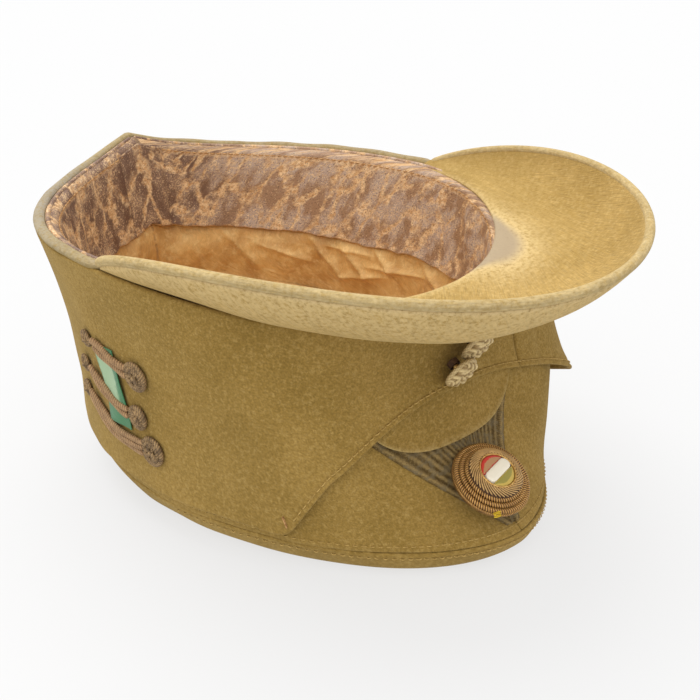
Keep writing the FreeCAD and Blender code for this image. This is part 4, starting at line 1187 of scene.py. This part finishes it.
def make_ornament():
    surface = FLAP["gap"] + FLAP["thickness"]
    ribbon = surface + 0.3
    first, second, third = ((-97.5, 0.365), (-90.2, 0.365), (-90.4, 0.71))

    def place(a, b, skin):
        degrees = first[0] + (second[0] - first[0]) * a + (third[0] - second[0]) * b
        down = first[1] + (third[1] - first[1]) * b
        drape = 0.35 * np.sin(a * 5 + b * 7) + 0.35
        return cloth(degrees, down, ribbon + 0.2 + drape + 0.45 * skin)
    shape = slab(place, edged(11, 0.25, 22), edged(35, 0.25, 60), 0.25,
                 wear=lambda a, b: np.exp(-((a - 0.4) / 0.4) ** 4) * np.exp(-((b - 0.45) / 0.3) ** 4))
    shape.make("ornament_green_ribbon", RIBBON, "green_ribbon", ["ornament_ribbon"])
    for group, knots, cord in (("front", FRONT_KNOTS, 0.95), ("rear", REAR_KNOTS, 0.78)):
        for name, degrees, down, kind in knots:
            shape = rosette(Shape(), on_wall(degrees, down, surface + 0.6), KNOTS[kind], cord)
            shape.make("ornament_%s_coil_%s" % (group, name), AGED, "aged_cord",
                       ["ornament_%s_knot_%s" % (group, name)])
    lift = ribbon + 1.5
    layout = ((0.0, (-1.5, 1.5), 1.25), (0.02, (-1.3, 1.3), 1.1), (0.035, (-2.2, 0.0, 2.2), 1.05))
    for (name, a0, d0, _), (_, a1, d1, _), (bow, rows, cord) in zip(FRONT_KNOTS, REAR_KNOTS, layout):
        shape = Shape()
        share = np.linspace(0, 1, 40)
        for row in rows:
            start, stop = a0 - 2.4, a1 + 3.6
            down = d0 + (d1 - d0) * share + bow * 4 * share * (1 - share) + row / WALL_RUN
            degrees = start + (stop - start) * share
            path = cloth(degrees, down, lift + 0.25 * np.sin(share * 9 + row))
            tube(shape, path, outward(np.radians(-95.0)), cord, 0.24, sides=12, strands=3, pitch=3.6,
                 depth=0.1, taper=0.9)
        shape.make("ornament_cords_" + name, BAR_CORD, "aged_cord", ["ornament_bar_" + name])


# ---------------------------------------------------------------- carried-over parts

def dress_nodes():
    """Materials of the CAD parts that stay."""
    finishes = {"front_stiffener": BUCKRAM, "peak_board": BOARD, "cockade_backing": BACKING,
                "cockade_core": DARK_CORE_AND_SHADE}
    for side in ("left", "right"):
        finishes["button_%s_shank" % side] = BEZEL
        # The dark core finish on the thread collars is painted shade: it stands for the dark gap behind each
        # button.
        finishes["button_%s_thread_collar" % side] = DARK_CORE_AND_SHADE
    for name, material in finishes.items():
        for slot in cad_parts[name].material_slots:
            slot.material = material


# ---------------------------------------------------------------- camera, floor and light

def towards(azimuth, elevation):
    """Unit vector from the cap to a camera or light at these angles, in radians."""
    return Vector((math.sin(azimuth) * math.cos(elevation), -math.cos(azimuth) * math.cos(elevation),
                   math.sin(elevation)))


def make_camera():
    azimuth, elevation, roll = (math.radians(CAMERA[k]) for k in ("azimuth", "elevation", "roll"))
    back = towards(azimuth, elevation)
    right = Vector((math.cos(azimuth), math.sin(azimuth), 0))
    up = back.cross(right)
    side = right * math.cos(roll) + up * math.sin(roll)
    top = up * math.cos(roll) - right * math.sin(roll)
    data = bpy.data.cameras.new("camera")
    data.lens = CAMERA["lens"]
    data.sensor_width = 36.0
    data.clip_start, data.clip_end = 0.01, 50.0
    camera = bpy.data.objects.new("camera", data)
    spot = (Vector(CAMERA["target"]) + back * CAMERA["distance"]) * MM
    camera.matrix_world = Matrix.Translation(spot) @ Matrix((side, top, back)).transposed().to_4x4()
    bpy.context.scene.collection.objects.link(camera)
    bpy.context.scene.camera = camera


def make_floor():
    mesh = bpy.data.meshes.new("floor")
    reach, level = 12.0, -0.0003
    corners = [(x * reach, y * reach, level) for x, y in ((-1, -1), (1, -1), (1, 1), (-1, 1))]
    mesh.from_pydata(corners, [], [(0, 1, 2, 3)])
    material = bpy.data.materials.new("floor")
    material.use_nodes = True
    tree = material.node_tree
    tree.nodes.clear()
    out = tree.nodes.new("ShaderNodeOutputMaterial")
    add = tree.nodes.new("ShaderNodeAddShader")
    matt = tree.nodes.new("ShaderNodeBsdfDiffuse")
    glow = tree.nodes.new("ShaderNodeEmission")
    matt.inputs["Color"].default_value = (0.16, 0.16, 0.16, 1)
    glow.inputs["Color"].default_value = (1.0, 1.0, 1.0, 1)
    glow.inputs["Strength"].default_value = 0.70
    tree.links.new(matt.outputs[0], add.inputs[0])
    tree.links.new(glow.outputs[0], add.inputs[1])
    tree.links.new(add.outputs[0], out.inputs[0])
    mesh.materials.append(material)
    floor = bpy.data.objects.new("floor", mesh)
    bpy.context.scene.collection.objects.link(floor)


def make_light():
    scene = bpy.context.scene
    world = bpy.data.worlds.new("studio")
    world.use_nodes = True
    world.node_tree.nodes["Background"].inputs["Color"].default_value = (1.0, 1.0, 1.0, 1)
    world.node_tree.nodes["Background"].inputs["Strength"].default_value = 0.9
    scene.world = world
    for name, azimuth, elevation, strength, spread in (("key", 160.0, 66.0, 2.3, 50.0),
                                                       ("fill", -60.0, 45.0, 1.1, 80.0)):
        data = bpy.data.lights.new(name, "SUN")
        data.energy = strength
        data.angle = math.radians(spread)
        light = bpy.data.objects.new(name, data)
        way = towards(math.radians(azimuth), math.radians(elevation))
        light.rotation_mode = "QUATERNION"
        light.rotation_quaternion = way.to_track_quat("Z", "Y")
        scene.collection.objects.link(light)
    scene.view_settings.view_transform = "Standard"
    scene.view_settings.look = "None"


for step in (make_camera, make_crown, make_top, make_flap, make_tongue, make_cloth_stitches, make_peak,
             make_rim, make_sweatband, make_lining, make_lace, make_cockade, make_buttons, make_ornament,
             dress_nodes, make_floor, make_light):
    step()
